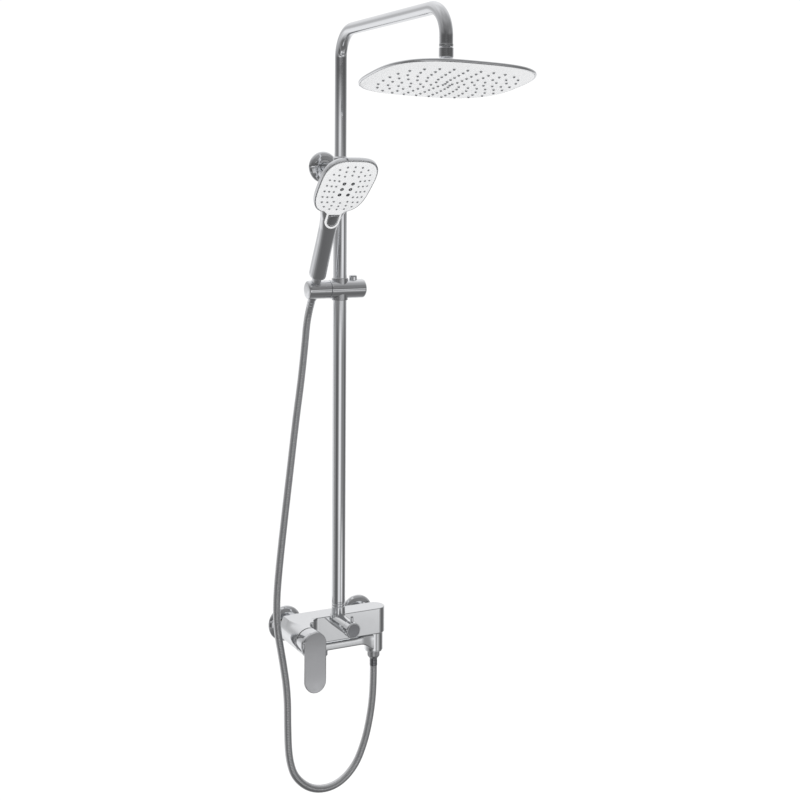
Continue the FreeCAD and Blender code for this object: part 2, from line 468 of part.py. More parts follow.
hx, hy, rl, rh = SIZE["head_half_x"], SIZE["head_half_y"], SIZE["rim_low"], SIZE["rim_high"]
M = 3.0
outer = Part.makeLoft([oval(hx, hy, M, -rl), oval(hx, hy, M, -rh)], True, True)
dome = stack([(hx, hy, M, -rh), (hx - 8, hy - 8, M, -rh + 2.4), (hx - 40, hy - 34, 2.9, -rh + 8.6), (hx - 80, hy - 66, 2.6, -rh + 15.4), (30, 26, 2.2, -rh + 21.4)])
collar = Part.makeCylinder(15.3, 9.0, V(0, 0, -19.0)).fuse(Part.makeCone(22.0, 15.3, 2.5, V(0, 0, -20.0)))
inner = Part.makeLoft([oval(hx - 2.0, hy - 2.0, M, -rl - 0.5), oval(hx - 2.0, hy - 2.0, M, -rh - 0.6), oval(hx - 10, hy - 10, M, -rh + 0.7),
                       oval(hx - 42, hy - 36, 2.9, -rh + 6.2), oval(hx - 80, hy - 66, 2.6, -rh + 12.6)], True, True)
shell = outer.fuse([dome, collar]).cut(inner).cut(Part.makeCylinder(7.95, 30.0, V(0, 0, -29.0)))
shell = shell.cut(Part.makeCylinder(6.9, 8.0, V(0, 0, -13.5)))
node("rain_head_shell", feature(shell.removeSplitter(), TILT))
fd = SIZE["face_dome"]
face = Part.makeLoft([oval(hx - 2.2, hy - 2.2, M, -rl + 3.5), oval(hx - 2.2, hy - 2.2, M, -rl), oval(hx - 10.0, hy - 10.0, M, -rl - 0.55 * fd)], True, True)
face2 = Part.makeLoft([oval(hx - 10.0, hy - 10.0, M, -rl - 0.55 * fd), oval(hx - 24.0, hy - 24.0, M, -rl - fd)], True, True)
hollow = Part.makeLoft([oval(hx - 5.0, hy - 5.0, M, -rl + 3.6), oval(hx - 5.0, hy - 5.0, M, -rl + 0.6), oval(hx - 26.0, hy - 26.0, M, -rl - fd + 3.0)], True, True)
node("rain_head_face", feature(face.fuse(face2).cut(hollow).removeSplitter(), TILT))
node("rain_head_chamber", feature(Part.makeLoft([oval(hx - 28, hy - 28, 3.0, -rl - fd + 3.1), oval(hx - 38, hy - 36, 3.0, -rl + 6.6)], True, True).cut(
    Part.makeLoft([oval(hx - 30.2, hy - 30.2, 3.0, -rl - fd + 3.1), oval(hx - 40, hy - 38, 3.0, -rl + 4.8)], True, True)), TILT))
rain_pts = []
for a, b, n in ((108.0, 85.0, 28), (92.0, 70.5, 24), (76.0, 56.0, 20), (60.0, 42.0, 16), (44.0, 28.5, 12), (27.0, 15.5, 8), (10.0, 4.5, 4)):
    rain_pts += ring_points(a, b, 3.0, n)
node("rain_head_nozzles", feature(studs(rain_pts, 1.3, 1.9, -rl - fd - 2.6, 2.6), TILT))

# ---------------------------------------------------------------- hose (straight runs joined by tangent arcs)
up = HAND.multVec(V(0, 0, -38.0))
ROUTE = [(up.x, up.y, up.z), (-52.0, -47.0, 578.842), (-53.8, -41.5, 531.0), (-61.5, -42.5, 464.0), (-73.5, -46.0, 390.0), (-86.5, -53.0, 306.0),
         (-98.5, -57.0, 222.0), (-110.5, -62.0, 138.0), (-118.5, -66.0, 68.0), (-118.0, -69.0, 14.0), (-107.5, -70.5, -42.0), (-97.5, -70.5, -106.0),
         (-96.5, -69.5, -172.0), (-93.0, -67.5, -228.0), (-79.0, -65.0, -268.0), (-41.0, -61.0, -299.0), (8.0, -56.0, -303.0),
         (48.0, -52.5, -277.0), (70.0, -50.5, -233.0), (82.5, -49.5, -184.0), (88.7, -49.0, -134.0), (88.7, -49.0, -90.0)]


def tangent_wire(route):
    pts = [V(*p) for p in route]
    edges, cur, radii = [], pts[0], []
    for i in range(1, len(pts) - 1):
        a, b, c = pts[i - 1], pts[i], pts[i + 1]
        d1, d2 = (b - a), (c - b)
        l1, l2 = d1.Length, d2.Length
        d1.normalize()
        d2.normalize()
        turn = d1.getAngle(d2)
        t = 0.45 * min(l1, l2)
        r = t / math.tan(turn / 2.0)
        radii.append((round(math.degrees(turn), 1), round(r, 1), round(l1, 1)))
        p1, p2 = b - d1 * t, b + d2 * t
        centre_dir = (d2 - d1)
        centre_dir.normalize()
        mid = b + centre_dir * (r / math.cos(turn / 2.0) - r)
        if (p1 - cur).Length > 1e-6:
            edges.append(Part.LineSegment(cur, p1).toShape())
        edges.append(Part.Arc(p1, mid, p2).toShape())
        cur = p2
    edges.append(Part.LineSegment(cur, pts[-1]).toShape())
    return Part.Wire(edges), radii


hose_wire, radii = tangent_wire(ROUTE)
start = (V(*ROUTE[1]) - V(*ROUTE[0]))
hr = SIZE["hose_r"]
prof = Part.Wire([Part.Circle(V(*ROUTE[0]), start, hr).toShape()])
hose = hose_wire.makePipeShell([prof], True, False)
node("shower_hose", feature(hose))
print("hose turns, radii, runs:", radii)
print("hose length %.1f, volume ratio %.4f" % (hose_wire.Length, hose.Volume / (math.pi * hr * hr * hose_wire.Length)))

# ---------------------------------------------------------------- recompute, check, write
doc.recompute()
bad = []
for o in doc.Objects:
    if "Invalid" in o.State or "Error" in o.State:
        bad.append("%s (%s) %s" % (o.Name, o.Label, o.State))
for name, o in NODES.items():
    s = o.Shape
    if s.isNull() or not s.isValid() or not s.Solids:
        bad.append("shape of " + name)
if bad:
    raise RuntimeError("failed objects: " + "; ".join(bad))
os.makedirs("parts", exist_ok=True)
for old in os.listdir("parts"):
    if old.endswith(".step"):
        os.remove(os.path.join("parts", old))
for name, o in sorted(NODES.items()):
    o.Shape.exportStep("parts/%s.step" % name)
    b = o.Shape.BoundBox
    print("%-24s %2d solids %9.1f mm3  x %.1f..%.1f y %.1f..%.1f z %.1f..%.1f" % (
        name, len(o.Shape.Solids), o.Shape.Volume, b.XMin, b.XMax, b.YMin, b.YMax, b.ZMin, b.ZMax))
print(len(NODES), "nodes")
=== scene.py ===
import math

import bmesh
import bpy
from mathutils import Matrix, Vector


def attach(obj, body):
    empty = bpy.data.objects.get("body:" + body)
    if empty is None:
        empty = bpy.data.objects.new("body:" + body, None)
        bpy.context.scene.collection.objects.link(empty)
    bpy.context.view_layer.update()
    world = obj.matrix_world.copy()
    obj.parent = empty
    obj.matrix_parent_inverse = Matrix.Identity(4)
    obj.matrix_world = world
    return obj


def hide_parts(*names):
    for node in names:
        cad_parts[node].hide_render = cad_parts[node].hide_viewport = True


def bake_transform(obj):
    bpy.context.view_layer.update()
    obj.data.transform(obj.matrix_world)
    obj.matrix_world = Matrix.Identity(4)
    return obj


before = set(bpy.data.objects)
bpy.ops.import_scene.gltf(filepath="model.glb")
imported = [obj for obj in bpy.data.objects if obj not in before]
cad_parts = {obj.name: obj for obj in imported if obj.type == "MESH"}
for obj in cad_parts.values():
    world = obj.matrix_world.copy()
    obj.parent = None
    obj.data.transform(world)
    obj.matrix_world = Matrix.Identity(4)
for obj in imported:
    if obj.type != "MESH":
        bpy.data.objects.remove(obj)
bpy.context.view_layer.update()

MM = 0.001
X, Y, Z = Vector((1, 0, 0)), Vector((0, 1, 0)), Vector((0, 0, 1))


# ------------------------------------------------------------------ camera
FWD = Vector((0.4573, 0.8893, 0.0)).normalized()
cam = bpy.data.cameras.new("camera")
cam.lens = 58.63
cam.sensor_width = 36.0
cam.shift_y = -0.2617
cam.clip_end = 50
cam_obj = bpy.data.objects.new("camera", cam)
rot = FWD.to_track_quat("-Z", "Y").to_matrix() @ Matrix.Rotation(math.radians(0.27), 3, "Z")
cam_obj.matrix_world = Matrix.Translation((-1.0129, -2.2934, 0.820)) @ rot.to_4x4()
bpy.context.collection.objects.link(cam_obj)
bpy.context.scene.camera = cam_obj
bpy.context.scene.view_settings.view_transform = "Standard"


# ------------------------------------------------------------------ materials
def new_mat(name):
    m = bpy.data.materials.new(name)
    m.use_nodes = True
    nt = m.node_tree
    return m, nt, nt.nodes["Principled BSDF"]


def link(nt, a, b):
    nt.links.new(a, b)


def noise(nt, scale, detail=3.0, rough=0.5, vec=None):
    n = nt.nodes.new("ShaderNodeTexNoise")
    n.inputs["Scale"].default_value = scale
    n.inputs["Detail"].default_value = detail
    n.inputs["Roughness"].default_value = rough
    if vec is None:
        tc = nt.nodes.new("ShaderNodeTexCoord")
        vec = tc.outputs["Object"]
    link(nt, vec, n.inputs["Vector"])
    return n


def remap(nt, val, lo, hi, a=0.0, b=1.0):
    n = nt.nodes.new("ShaderNodeMapRange")
    n.inputs["From Min"].default_value = a
    n.inputs["From Max"].default_value = b
    n.inputs["To Min"].default_value = lo
    n.inputs["To Max"].default_value = hi
    link(nt, val, n.inputs["Value"])
    return n.outputs["Result"]


def bump(nt, bsdf, height, strength, dist):
    n = nt.nodes.new("ShaderNodeBump")
    n.inputs["Strength"].default_value = strength
    n.inputs["Distance"].default_value = dist
    link(nt, height, n.inputs["Height"])
    link(nt, n.outputs["Normal"], bsdf.inputs["Normal"])


def tint(nt, val, c0, c1):
    r = nt.nodes.new("ShaderNodeValToRGB")
    r.color_ramp.elements[0].color = (*c0, 1)
    r.color_ramp.elements[1].color = (*c1, 1)
    link(nt, val, r.inputs["Fac"])
    return r.outputs["Color"]


def metal(name, c, lo, hi, wave=0.010):
    m, nt, b = new_mat(name)
    b.inputs["Metallic"].default_value = 1.0
    n = noise(nt, 60.0, 4.0, 0.6)
    link(nt, remap(nt, n.outputs["Fac"], lo, hi, 0.3, 0.75), b.inputs["Roughness"])
    big = noise(nt, 14.0, 2.0, 0.4)
    dark = tuple(v * 0.96 for v in c)
    link(nt, tint(nt, big.outputs["Fac"], dark, c), b.inputs["Base Color"])
    bump(nt, b, noise(nt, 22.0, 1.0, 0.3).outputs["Fac"], wave, 0.004)
    return m


def plastic(name, c, rough, grain=900.0, depth=0.05, spread=0.04, sub=0.0):
    m, nt, b = new_mat(name)
    n = noise(nt, grain, 3.0, 0.6)
    link(nt, remap(nt, n.outputs["Fac"], rough - 0.05, rough + 0.06, 0.3, 0.7), b.inputs["Roughness"])
    big = noise(nt, 9.0, 3.0, 0.5)
    link(nt, tint(nt, big.outputs["Fac"], tuple(v * (1 - spread) for v in c), c), b.inputs["Base Color"])
    bump(nt, b, n.outputs["Fac"], depth, 0.0004)
    return m


CHROME = metal("chrome", (0.82, 0.83, 0.845), 0.035, 0.085)
CHROME_CAST = metal("chrome_cast", (0.84, 0.85, 0.86), 0.05, 0.12, 0.014)
SATIN = metal("satin_plate", (0.60, 0.61, 0.62), 0.14, 0.24, 0.010)
# darker copy of the chrome: painted shade for the dimmer reflection on the chrome lever plate and the knurled hose
# nut; on the grey slider bush it gives its own grey plus painted shade at the clamp
SHADED_CHROME = metal("chrome_painted_shade", (0.52, 0.525, 0.535), 0.07, 0.15, 0.008)
SMOKE = metal("dark_chrome", (0.26, 0.265, 0.275), 0.10, 0.22, 0.010)
HOSE = metal("hose_steel", (0.68, 0.685, 0.695), 0.14, 0.26, 0.0)
STEEL = metal("stainless", (0.60, 0.60, 0.61), 0.22, 0.38)
BRASS = metal("brass", (0.72, 0.53, 0.24), 0.2, 0.35)
WHITE = plastic("white_plastic", (0.815, 0.82, 0.828), 0.30, 700.0, 0.03)
NUB = plastic("nozzle_rubber", (0.20, 0.205, 0.215), 0.55, 1500.0, 0.2)
NUBL = plastic("nozzle_collar", (0.62, 0.63, 0.65), 0.5, 1500.0, 0.1)
DARK = plastic("dark_plastic", (0.035, 0.037, 0.042), 0.4, 1200.0, 0.1)
GREY = plastic("grey_plastic", (0.35, 0.36, 0.38), 0.45, 900.0, 0.1)
RUBBER = plastic("seal_rubber", (0.02, 0.02, 0.02), 0.6, 900.0, 0.3)
CERAMIC = plastic("ceramic", (0.85, 0.84, 0.8), 0.15, 900.0, 0.02)


# ------------------------------------------------------------------ mesh helpers (millimetres in, metres out)
def add(name, verts, faces, mat, angle=32.0, flip=False):
    me = bpy.data.meshes.new(name)
    me.from_pydata([tuple(c * MM for c in v) for v in verts], [], faces)
    me.validate()
    bm = bmesh.new()
    bm.from_mesh(me)
    bmesh.ops.remove_doubles(bm, verts=bm.verts, dist=1e-7)
    bmesh.ops.recalc_face_normals(bm, faces=bm.faces)
    bm.to_mesh(me)
    bm.free()
    me.shade_smooth()
    me.set_sharp_from_angle(angle=math.radians(angle))
    ob = bpy.data.objects.new(name, me)
    bpy.context.collection.objects.link(ob)
    for mm in (mat if isinstance(mat, (list, tuple)) else [mat]):
        me.materials.append(mm)
    return ob


def frame_of(axis, up=None):
    a = Vector(axis).normalized()
    u = Vector(up) if up is not None else (Z if abs(a.z) < 0.9 else X)
    e1 = u.cross(a).normalized()
    e2 = a.cross(e1)
    return a, e1, e2


def rounded(pts, rad=0.5, closed=False, n=4):
    """Polyline with every corner turned into a small arc."""
    out = []
    P = [Vector((p[0], p[1], 0)) for p in pts]
    N = len(P)
    for i in range(N):
        r = pts[i][2] if len(pts[i]) > 2 else rad
        if not closed and i in (0, N - 1) or r <= 0:
            out.append((P[i].x, P[i].y))
            continue
        a, b, c = P[i - 1], P[i], P[(i + 1) % N]
        d1, d2 = a - b, c - b
        l1, l2 = d1.length, d2.length
        if l1 < 1e-6 or l2 < 1e-6:
            out.append((b.x, b.y))
            continue
        t = min(r, 0.45 * l1, 0.45 * l2)
        p1, p2 = b + d1 / l1 * t, b + d2 / l2 * t
        if l1 > 2.3 * t + 0.3:
            q = p1 + d1 / l1 * 0.05
            out.append((q.x, q.y))
        for k in range(n + 1):
            s = k / n
            q = p1 * (1 - s) ** 2 + b * 2 * s * (1 - s) + p2 * s * s
            out.append((q.x, q.y))
        if l2 > 2.3 * t + 0.3:
            q = p2 + d2 / l2 * 0.05
            out.append((q.x, q.y))
    return out


def lathe(name, profile, org, axis, mat, segs=96, rad=0.5, closed=False, angle=32.0, shape=None):
    """(radius, height) profile turned about axis; shape(theta, r, h) may change the radius."""
    pts = rounded(profile, rad, closed) if rad else [(p[0], p[1]) for p in profile]
    a, e1, e2 = frame_of(axis)
    o = Vector(org)
    verts, faces = [], []
    for r, h in pts:
        for k in range(segs):
            t = 2 * math.pi * k / segs
            rr = shape(t, r, h) if shape else r
            verts.append(o + a * h + (e1 * math.cos(t) + e2 * math.sin(t)) * rr)
    n = len(pts)
    for i in range(n if closed else n - 1):
        for k in range(segs):
            j, l = (i + 1) % n, (k + 1) % segs
            faces.append((i * segs + k, i * segs + l, j * segs + l, j * segs + k))
    return add(name, verts, faces, mat, angle)


def loft(name, secs, mat, caps=(True, True), angle=32.0, closed=True):
    m = len(secs[0])
    verts = [p for s in secs for p in s]
    faces = []
    for i in range(len(secs) - 1):
        for k in range(m if closed else m - 1):
            l = (k + 1) % m
            faces.append((i * m + k, i * m + l, (i + 1) * m + l, (i + 1) * m + k))
    if caps[0]:
        faces.append(tuple(range(m)))
    if caps[1]:
        faces.append(tuple((len(secs) - 1) * m + k for k in range(m)))
    return add(name, verts, faces, mat, angle)


def extrude(name, outline, z0, z1, mat, bev=1.0, to=lambda p: p, n=4, angle=32.0):
    """Prism of a 2-D outline with rounded top and bottom edges."""
    cx = sum(p[0] for p in outline) / len(outline)
    N = len(outline)
    nor = []
    for i in range(N):
        a, b = Vector(outline[i - 1][:2]), Vector(outline[(i + 1) % N][:2])
        d = (b - a)
        nor.append(Vector((d.y, -d.x)).normalized() if d.length > 1e-9 else Vector((0, 0)))
    area = sum(outline[i - 1][0] * outline[i][1] - outline[i][0] * outline[i - 1][1] for i in range(N))
    sgn = 1.0 if area > 0 else -1.0
    secs = [(bev + 0.06, z0)]
    for k in range(n + 1):
        t = math.pi / 2 * k / n
        secs.append((bev * (1 - math.sin(t)), z0 + bev * (1 - math.cos(t))))
    secs += [(0.0, z0 + bev + 0.06), (0.0, z1 - bev - 0.06)]
    for k in range(n, -1, -1):
        t = math.pi / 2 * k / n
        secs.append((bev * (1 - math.sin(t)), z1 - bev * (1 - math.cos(t))))
    secs.append((bev + 0.06, z1))
    rows = []
    for ins, z in secs:
        rows.append([Vector(to((outline[i][0] - sgn * nor[i].x * ins, outline[i][1] - sgn * nor[i].y * ins, z))) for i in range(N)])
    return loft(name, rows, mat, (True, True), angle)


def sweep(name, path, radius, mat, segs=48, caps=False, radf=None):
    """Round tube along a dense list of points, with a frame carried along it."""
    P = [Vector(p) for p in path]
    rows = []
    t = (P[1] - P[0]).normalized()
    e1 = (Z if abs(t.z) < 0.9 else X).cross(t).normalized()
    for i, p in enumerate(P):
        a, b = P[max(i - 1, 0)], P[min(i + 1, len(P) - 1)]
        nt_ = (b - a).normalized()
        q = t.rotation_difference(nt_)
        e1 = (q @ e1)
        e1 = (e1 - nt_ * e1.dot(nt_)).normalized()
        t = nt_
        e2 = t.cross(e1)
        r = radf(i) if radf else radius
        rows.append([p + (e1 * math.cos(2 * math.pi * k / segs) + e2 * math.sin(2 * math.pi * k / segs)) * r for k in range(segs)])
    return loft(name, rows, mat, (caps, caps), 40)


def join(name, obs):
    bpy.ops.object.select_all(action="DESELECT")
    for o in obs:
        o.select_set(True)
    bpy.context.view_layer.objects.active = obs[0]
    bpy.ops.object.join()
    ob = bpy.context.view_layer.objects.active
    ob.name = name
    ob.data.name = name
    return ob


def apply_mods(ob):
    dg = bpy.context.evaluated_depsgraph_get()
    me = bpy.data.meshes.new_from_object(ob.evaluated_get(dg))
    old = ob.data
    ob.modifiers.clear()
    ob.data = me
    return ob


def boolean(ob, tool, op="DIFFERENCE", angle=32.0):
    m = ob.modifiers.new("cut", "BOOLEAN")
    m.object = tool
    m.operation = op
    m.solver = "EXACT"
    apply_mods(ob)
    bpy.data.objects.remove(tool)
    ob.data.shade_smooth()
    ob.data.set_sharp_from_angle(angle=math.radians(angle))
    return ob


def done(ob, body, slot, *nodes):
    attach(ob, body)
    if nodes:
        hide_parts(*nodes)
    return ob


def superr(a, b, m, t):
    return (abs(math.cos(t) / a) ** m + abs(math.sin(t) / b) ** m) ** (-1.0 / m)


def outline(a, b, m, n=160, taper=0.0):
    out = []
    for k in range(n):
        t = 2 * math.pi * k / n
        r = superr(a, b, m, t)
        x, y = r * math.cos(t), r * math.sin(t)
        out.append((x * (1 + taper * y / b), y))
    return out


def even(a, b, m, n, phase=0.5, taper=0.0):
    """n points evenly spaced round a rounded rectangle."""
    o = outline(a, b, m, 720, taper)
    L = [0.0]
    for i in range(720):
        p, q = o[i], o[(i + 1) % 720]
        L.append(L[-1] + math.hypot(q[0] - p[0], q[1] - p[1]))
    pts, j = [], 0
    for i in range(n):
        s = L[-1] * ((i + phase) % n) / n
        while L[j + 1] < s:
            j += 1
        f = (s - L[j]) / (L[j + 1] - L[j])
        p, q = o[j], o[(j + 1) % 720]
        pts.append((p[0] + (q[0] - p[0]) * f, p[1] + (q[1] - p[1]) * f))
    return pts


def placed(m4):
    return lambda p: m4 @ Vector(p)


# ------------------------------------------------------------------ hose
ROUTE = [(-52.0, -61.0, 603.091), (-52.0, -47.0, 578.842), (-53.8, -41.5, 531.0), (-61.5, -42.5, 464.0), (-73.5, -46.0, 390.0), (-86.5, -53.0, 306.0),
         (-98.5, -57.0, 222.0), (-110.5, -62.0, 138.0), (-118.5, -66.0, 68.0), (-118.0, -69.0, 14.0), (-107.5, -70.5, -42.0), (-97.5, -70.5, -106.0),
         (-96.5, -69.5, -172.0), (-93.0, -67.5, -228.0), (-79.0, -65.0, -268.0), (-41.0, -61.0, -299.0), (8.0, -56.0, -303.0),
         (48.0, -52.5, -277.0), (70.0, -50.5, -233.0), (82.5, -49.5, -184.0), (88.7, -49.0, -134.0), (88.7, -49.0, -90.0)]
cu = bpy.data.curves.new("hose_line", "CURVE")
cu.dimensions = "3D"
cu.resolution_u = 32
sp = cu.splines.new("NURBS")
sp.points.add(len(ROUTE) - 1)
for q, p in zip(sp.points, ROUTE):
    q.co = (p[0] * MM, p[1] * MM, p[2] * MM, 1)
sp.order_u = 3
sp.use_endpoint_u = True
line = bpy.data.objects.new("hose_line", cu)
bpy.context.collection.objects.link(line)
bpy.context.view_layer.update()
lm = bpy.data.meshes.new_from_object(line)
raw = [v.co.copy() for v in lm.vertices]
bpy.data.objects.remove(line)
dist = [0.0]
for a, b in zip(raw, raw[1:]):
    dist.append(dist[-1] + (b - a).length)
hose_len = dist[-1]
PITCH, PER = 0.0030, 4
count = int(hose_len / PITCH) * PER
samples, j = [], 0
for i in range(count + 1):
    s = hose_len * i / count
    while j < len(dist) - 2 and dist[j + 1] < s:
        j += 1
    f = (s - dist[j]) / max(dist[j + 1] - dist[j], 1e-12)
    samples.append(raw[j].lerp(raw[j + 1], min(max(f, 0), 1)))
RIB = [6.45, 6.92, 7.0, 6.92]
hose = sweep("shower_hose_ribbed", [s / MM for s in samples], 7.0, HOSE, 24, True, lambda i: RIB[i % PER])
hose.data.set_sharp_from_angle(angle=math.radians(75))
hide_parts("shower_hose")
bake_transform(hose)

# ------------------------------------------------------------------ supplies
for tag, sx in (("hot", -75.0), ("cold", 75.0)):
    ob = lathe("wall_rose_%s_dome" % tag, [(10.8, 0.2), (10.8, 10.0), (12.5, 10.4), (18.0, 9.9), (24.0, 8.7), (29.0, 6.2), (32.2, 3.2), (33.0, 1.2), (33.0, 0.0), (31.4, 0.0), (24.0, 6.4), (13.0, 8.2), (13.0, 0.2)],
               (sx, 0, 0), -Y, CHROME, 128, 1.2, True)
    done(ob, "root", "chrome_brass", "wall_rose_" + tag)

    def hexs(t, r, h, cut=15.5):
        flat = cut / math.cos((t + math.pi / 6) % (math.pi / 3) - math.pi / 6)
        return min(flat, r)
    ob = lathe("union_nut_%s_hex" % tag, [(10.7, -28.0), (15.4, -28.0), (17.2, -26.6), (17.2, -15.0), (15.4, -13.4), (13.25, -13.4), (13.25, -16.8), (10.7, -24.6)],
               (sx, 0, 0), Y, CHROME, 144, 0.3, True, 25, hexs)
    done(ob, "root", "chrome_brass", "union_nut_" + tag)

# ------------------------------------------------------------------ mixer body
parts = []
slab = []
for k in range(49):
    t = -math.pi / 2 + math.pi * k / 48
    slab.append((88.7 + 20.5 * math.cos(t), -49.0 + 20.5 * math.sin(t)))
for k in range(7):
    t = math.pi / 2 + math.pi / 2 * k / 6
    slab.append((-74.5 + 3.0 * math.cos(t), -31.5 + 3.0 * math.sin(t)))
for k in range(7):
    t = math.pi + math.pi / 2 * k / 6
    slab.append((-74.5 + 3.0 * math.cos(t), -66.5 + 3.0 * math.sin(t)))
parts.append(extrude("slab", slab, -24.0, 24.5, CHROME_CAST, 1.6))


def hull_section(xl, xr, y, flat=24.36, R=24.36, cx=-74.5, n=144):
    pts = [(R * math.cos(2 * math.pi * k / 360), R * math.sin(2 * math.pi * k / 360)) for k in range(360)] + [(xl - cx, flat), (xr - cx, flat)]
    pts = sorted(set((round(a, 6), round(b, 6)) for a, b in pts))

    def half(seq):
        h = []
        for p in seq:
            while len(h) >= 2 and (h[-1][0] - h[-2][0]) * (p[1] - h[-2][1]) - (h[-1][1] - h[-2][1]) * (p[0] - h[-2][0]) <= 0:
                h.pop()
            h.append(p)
        return h
    lo, up = half(pts), half(pts[::-1])
    hull = lo[:-1] + up[:-1]
    L = [0.0]
    res = []
    for k in range(n):
        t = 2 * math.pi * k / n
        dx, dy = math.cos(t), math.sin(t)
        best = None
        for i in range(len(hull)):
            (x1, y1), (x2, y2) = hull[i - 1], hull[i]
            ex, ey = x2 - x1, y2 - y1
            den = dx * ey - dy * ex
            if abs(den) < 1e-12:
                continue
            s = (x1 * ey - y1 * ex) / den
            u = (x1 * dy - y1 * dx) / den
            if s > 0 and -1e-9 <= u <= 1 + 1e-9:
                best = s if best is None else max(best, s)
        res.append(Vector((cx + dx * best, y, dy * best)))
    return res


def ease(t):
    t = min(max(t, 0), 1)
    return t * t * (3 - 2 * t)


secs = []
ys = [-28.6, -29.4, -31.0] + [-31.0 - k * 2.2 for k in range(1, 37)] + [-111.2, -111.8, -112.0]
for y in ys:
    f = ease((-y - 52.0) / 58.0)
    xl = -90.0 + 15.0 * f
    g = ease((-y - 69.5) / 41.0)
    xr = -50.0 - 23.0 * g
    ins = {-28.6: 1.4, -29.4: 0.5, -31.0: 0.0, -111.2: 0.0, -111.8: 0.35, -112.0: 0.9}.get(y, 0.0)
    row = hull_section(xl, xr, y)
    c = Vector((-74.5, y, 0))
    secs.append([c + (p - c) * (1 - ins / 24.5) for p in row])
parts.append(loft("barrel", secs, CHROME_CAST, (True, False), 24))
# near-black ring inside the barrel's open end behind the lever: painted shade in the gap behind the lever cap
parts.append(lathe("barrel_mouth_shade", [(23.7, -112.0), (22.8, -111.8), (22.8, -106.0), (20.5, -106.0), (20.5, -99.2), (12.6, -99.2)], (-74.5, 0, 0), Y, DARK, 96, 0.2))
# concave corner between the flat front and the barrel
corner = []
for k in range(25):
    t = math.pi / 2 + math.pi / 2 * k / 24
    corner.append((-35.5 + 16.0 * math.cos(t), -85.5 + 16.0 * math.sin(t)))
corner = [(-35.5, -69.0)] + corner + [(-52.5, -86.0), (-60.0, -86.0), (-60.0, -69.0)]
parts.append(extrude("corner", corner, -17.0, 24.24, CHROME_CAST, 0.8))
for sx in (-75.0, 75.0):
    parts.append(lathe("spigot", [(0, -21.5), (13.2, -21.5), (13.2, -29.5)], (sx, 0, 0), Y, CHROME_CAST, 64, 0.5))
body = join("mixer_body_cast", parts)
done(body, "root", "chrome_brass", "mixer_body")

# ------------------------------------------------------------------ lever
lp = []
lp.append(lathe("cap", [(0, 0), (20.3, 0), (23.0, 1.5), (24.5, 5.0), (24.5, 25.8), (23.0, 25.8), (23.0, 9.0), (0, 9.0)], (-74.5, -141.0, 0), Y, CHROME, 128, 0.8))
st = []
hw = 20.4
for k in range(49):
    t = math.pi * k / 48
    st.append((-74.5 + hw * math.cos(t), 5.0 + hw * math.sin(t)))
for k in range(49):
    t = math.pi + math.pi * k / 48
    st.append((-74.5 + hw * math.cos(t), -62.0 + hw * math.sin(t)))
def dish(z):
    return 1.1 * (1 - ((z + 28.5) / 53.9) ** 2)


rows = []
for ins, y in ((1.6, -140.8), (0.5, -141.0), (0.0, -141.7), (0.0, -147.2), (0.12, -147.6), (0.4, -147.88), (0.8, -148.0), (1.0, -148.0)):
    row = []
    for p in st:
        z = -28.5 + (p[1] + 28.5) * (1 - ins / 53.9)
        row.append(Vector((-74.5 + (p[0] + 74.5) * (1 - ins / hw), y + (dish(z) if y < -147.0 else 0.0), z)))
    rows.append(row)
# the lever plate and its front face below use the darker chrome copy: painted shade for their dimmer reflection
plate = loft("plate", rows, SHADED_CHROME, (True, False), 50)
lp.append(plate)
grid, faces = [], []
NU, NV = 24, 120
for v in range(NV + 1):
    z = -28.5 - 52.95 * math.cos(math.pi * v / NV)
    zz = max(abs(z + 28.5) - 33.5, 0.0)
    half = math.sqrt(max(19.45 ** 2 - zz ** 2, 0.0))
    for u in range(NU + 1):
        grid.append((-74.5 + half * (2 * u / NU - 1), -147.995 + dish(z), z))
for v in range(NV):
    for u in range(NU):
        k = v * (NU + 1) + u
        faces.append((k, k + 1, k + NU + 2, k + NU + 1))
lp.append(add("plate_front", grid, faces, SHADED_CHROME, 60))
lp.append(lathe("boss", [(4.2, 0), (9.0, 0), (9.0, 14.0)], (-74.5, -132.0, 0), Y, CHROME, 48, 0.3))
lever = join("lever_handle_cast", lp)
done(lever, "lever", "chrome_brass", "lever_handle")

# ------------------------------------------------------------------ diverter
dp = []
dp.append(lathe("div_barrel", [(0, -60.2), (10.9, -60.2), (10.9, -69.0), (13.5, -69.0), (13.5, -84.0), (13.5, -129.0), (12.6, -131.5), (9.5, -131.5), (9.5, -122.0)],
                (0, 0, 18.0), Y, CHROME_CAST, 96, 0.6))
dp.append(lathe("div_boss", [(12.7, 18.0), (12.7, 31.5), (8.6, 31.5), (8.6, 25.0)], (0, -80.0, 0), Z, CHROME_CAST, 96, 0.5))
div = join("diverter_housing_cast", dp)
done(div, "root", "chrome_brass", "diverter_housing")


def flute(t, r, h):
    return r
kp = [lathe("knob", [(11.6, -147.6), (11.9, -148.0), (12.6, -148.0, 1.2), (14.5, -146.4, 1.4), (14.5, -135.2), (14.5, -132.4), (13.2, -132.4), (5.1, -132.4)], (0, 0, 18.0), Y, CHROME, 96, 0.3, False, 28, flute),
      lathe("knob_end", [(0, -147.5), (6.0, -147.55), (11.7, -147.7)], (0, 0, 18.0), Y, SMOKE, 96, 0, False, 28)]
ob = join("diverter_knob_turned", kp)
done(ob, "diverter", "chrome_brass", "diverter_knob")
ob = lathe("diverter_pin_turned", [(2.95, 24.5), (2.95, 43.0), (2.4, 45.2), (1.4, 46.3), (0, 46.7)], (0, -139.5, -2.8), Z, CHROME, 40, 0.6)
done(ob, "diverter", "chrome_brass", "diverter_pin")

# ------------------------------------------------------------------ bath spout
CX, CY = 88.7, -49.0
sp_parts = [lathe("hub", [(12.05, -58.5), (17.2, -58.5), (17.6, -57.8), (17.6, -25.2), (16.8, -24.4), (12.05, -24.4)], (CX, CY, 0), Z, CHROME_CAST, 128, 0.8, True)]


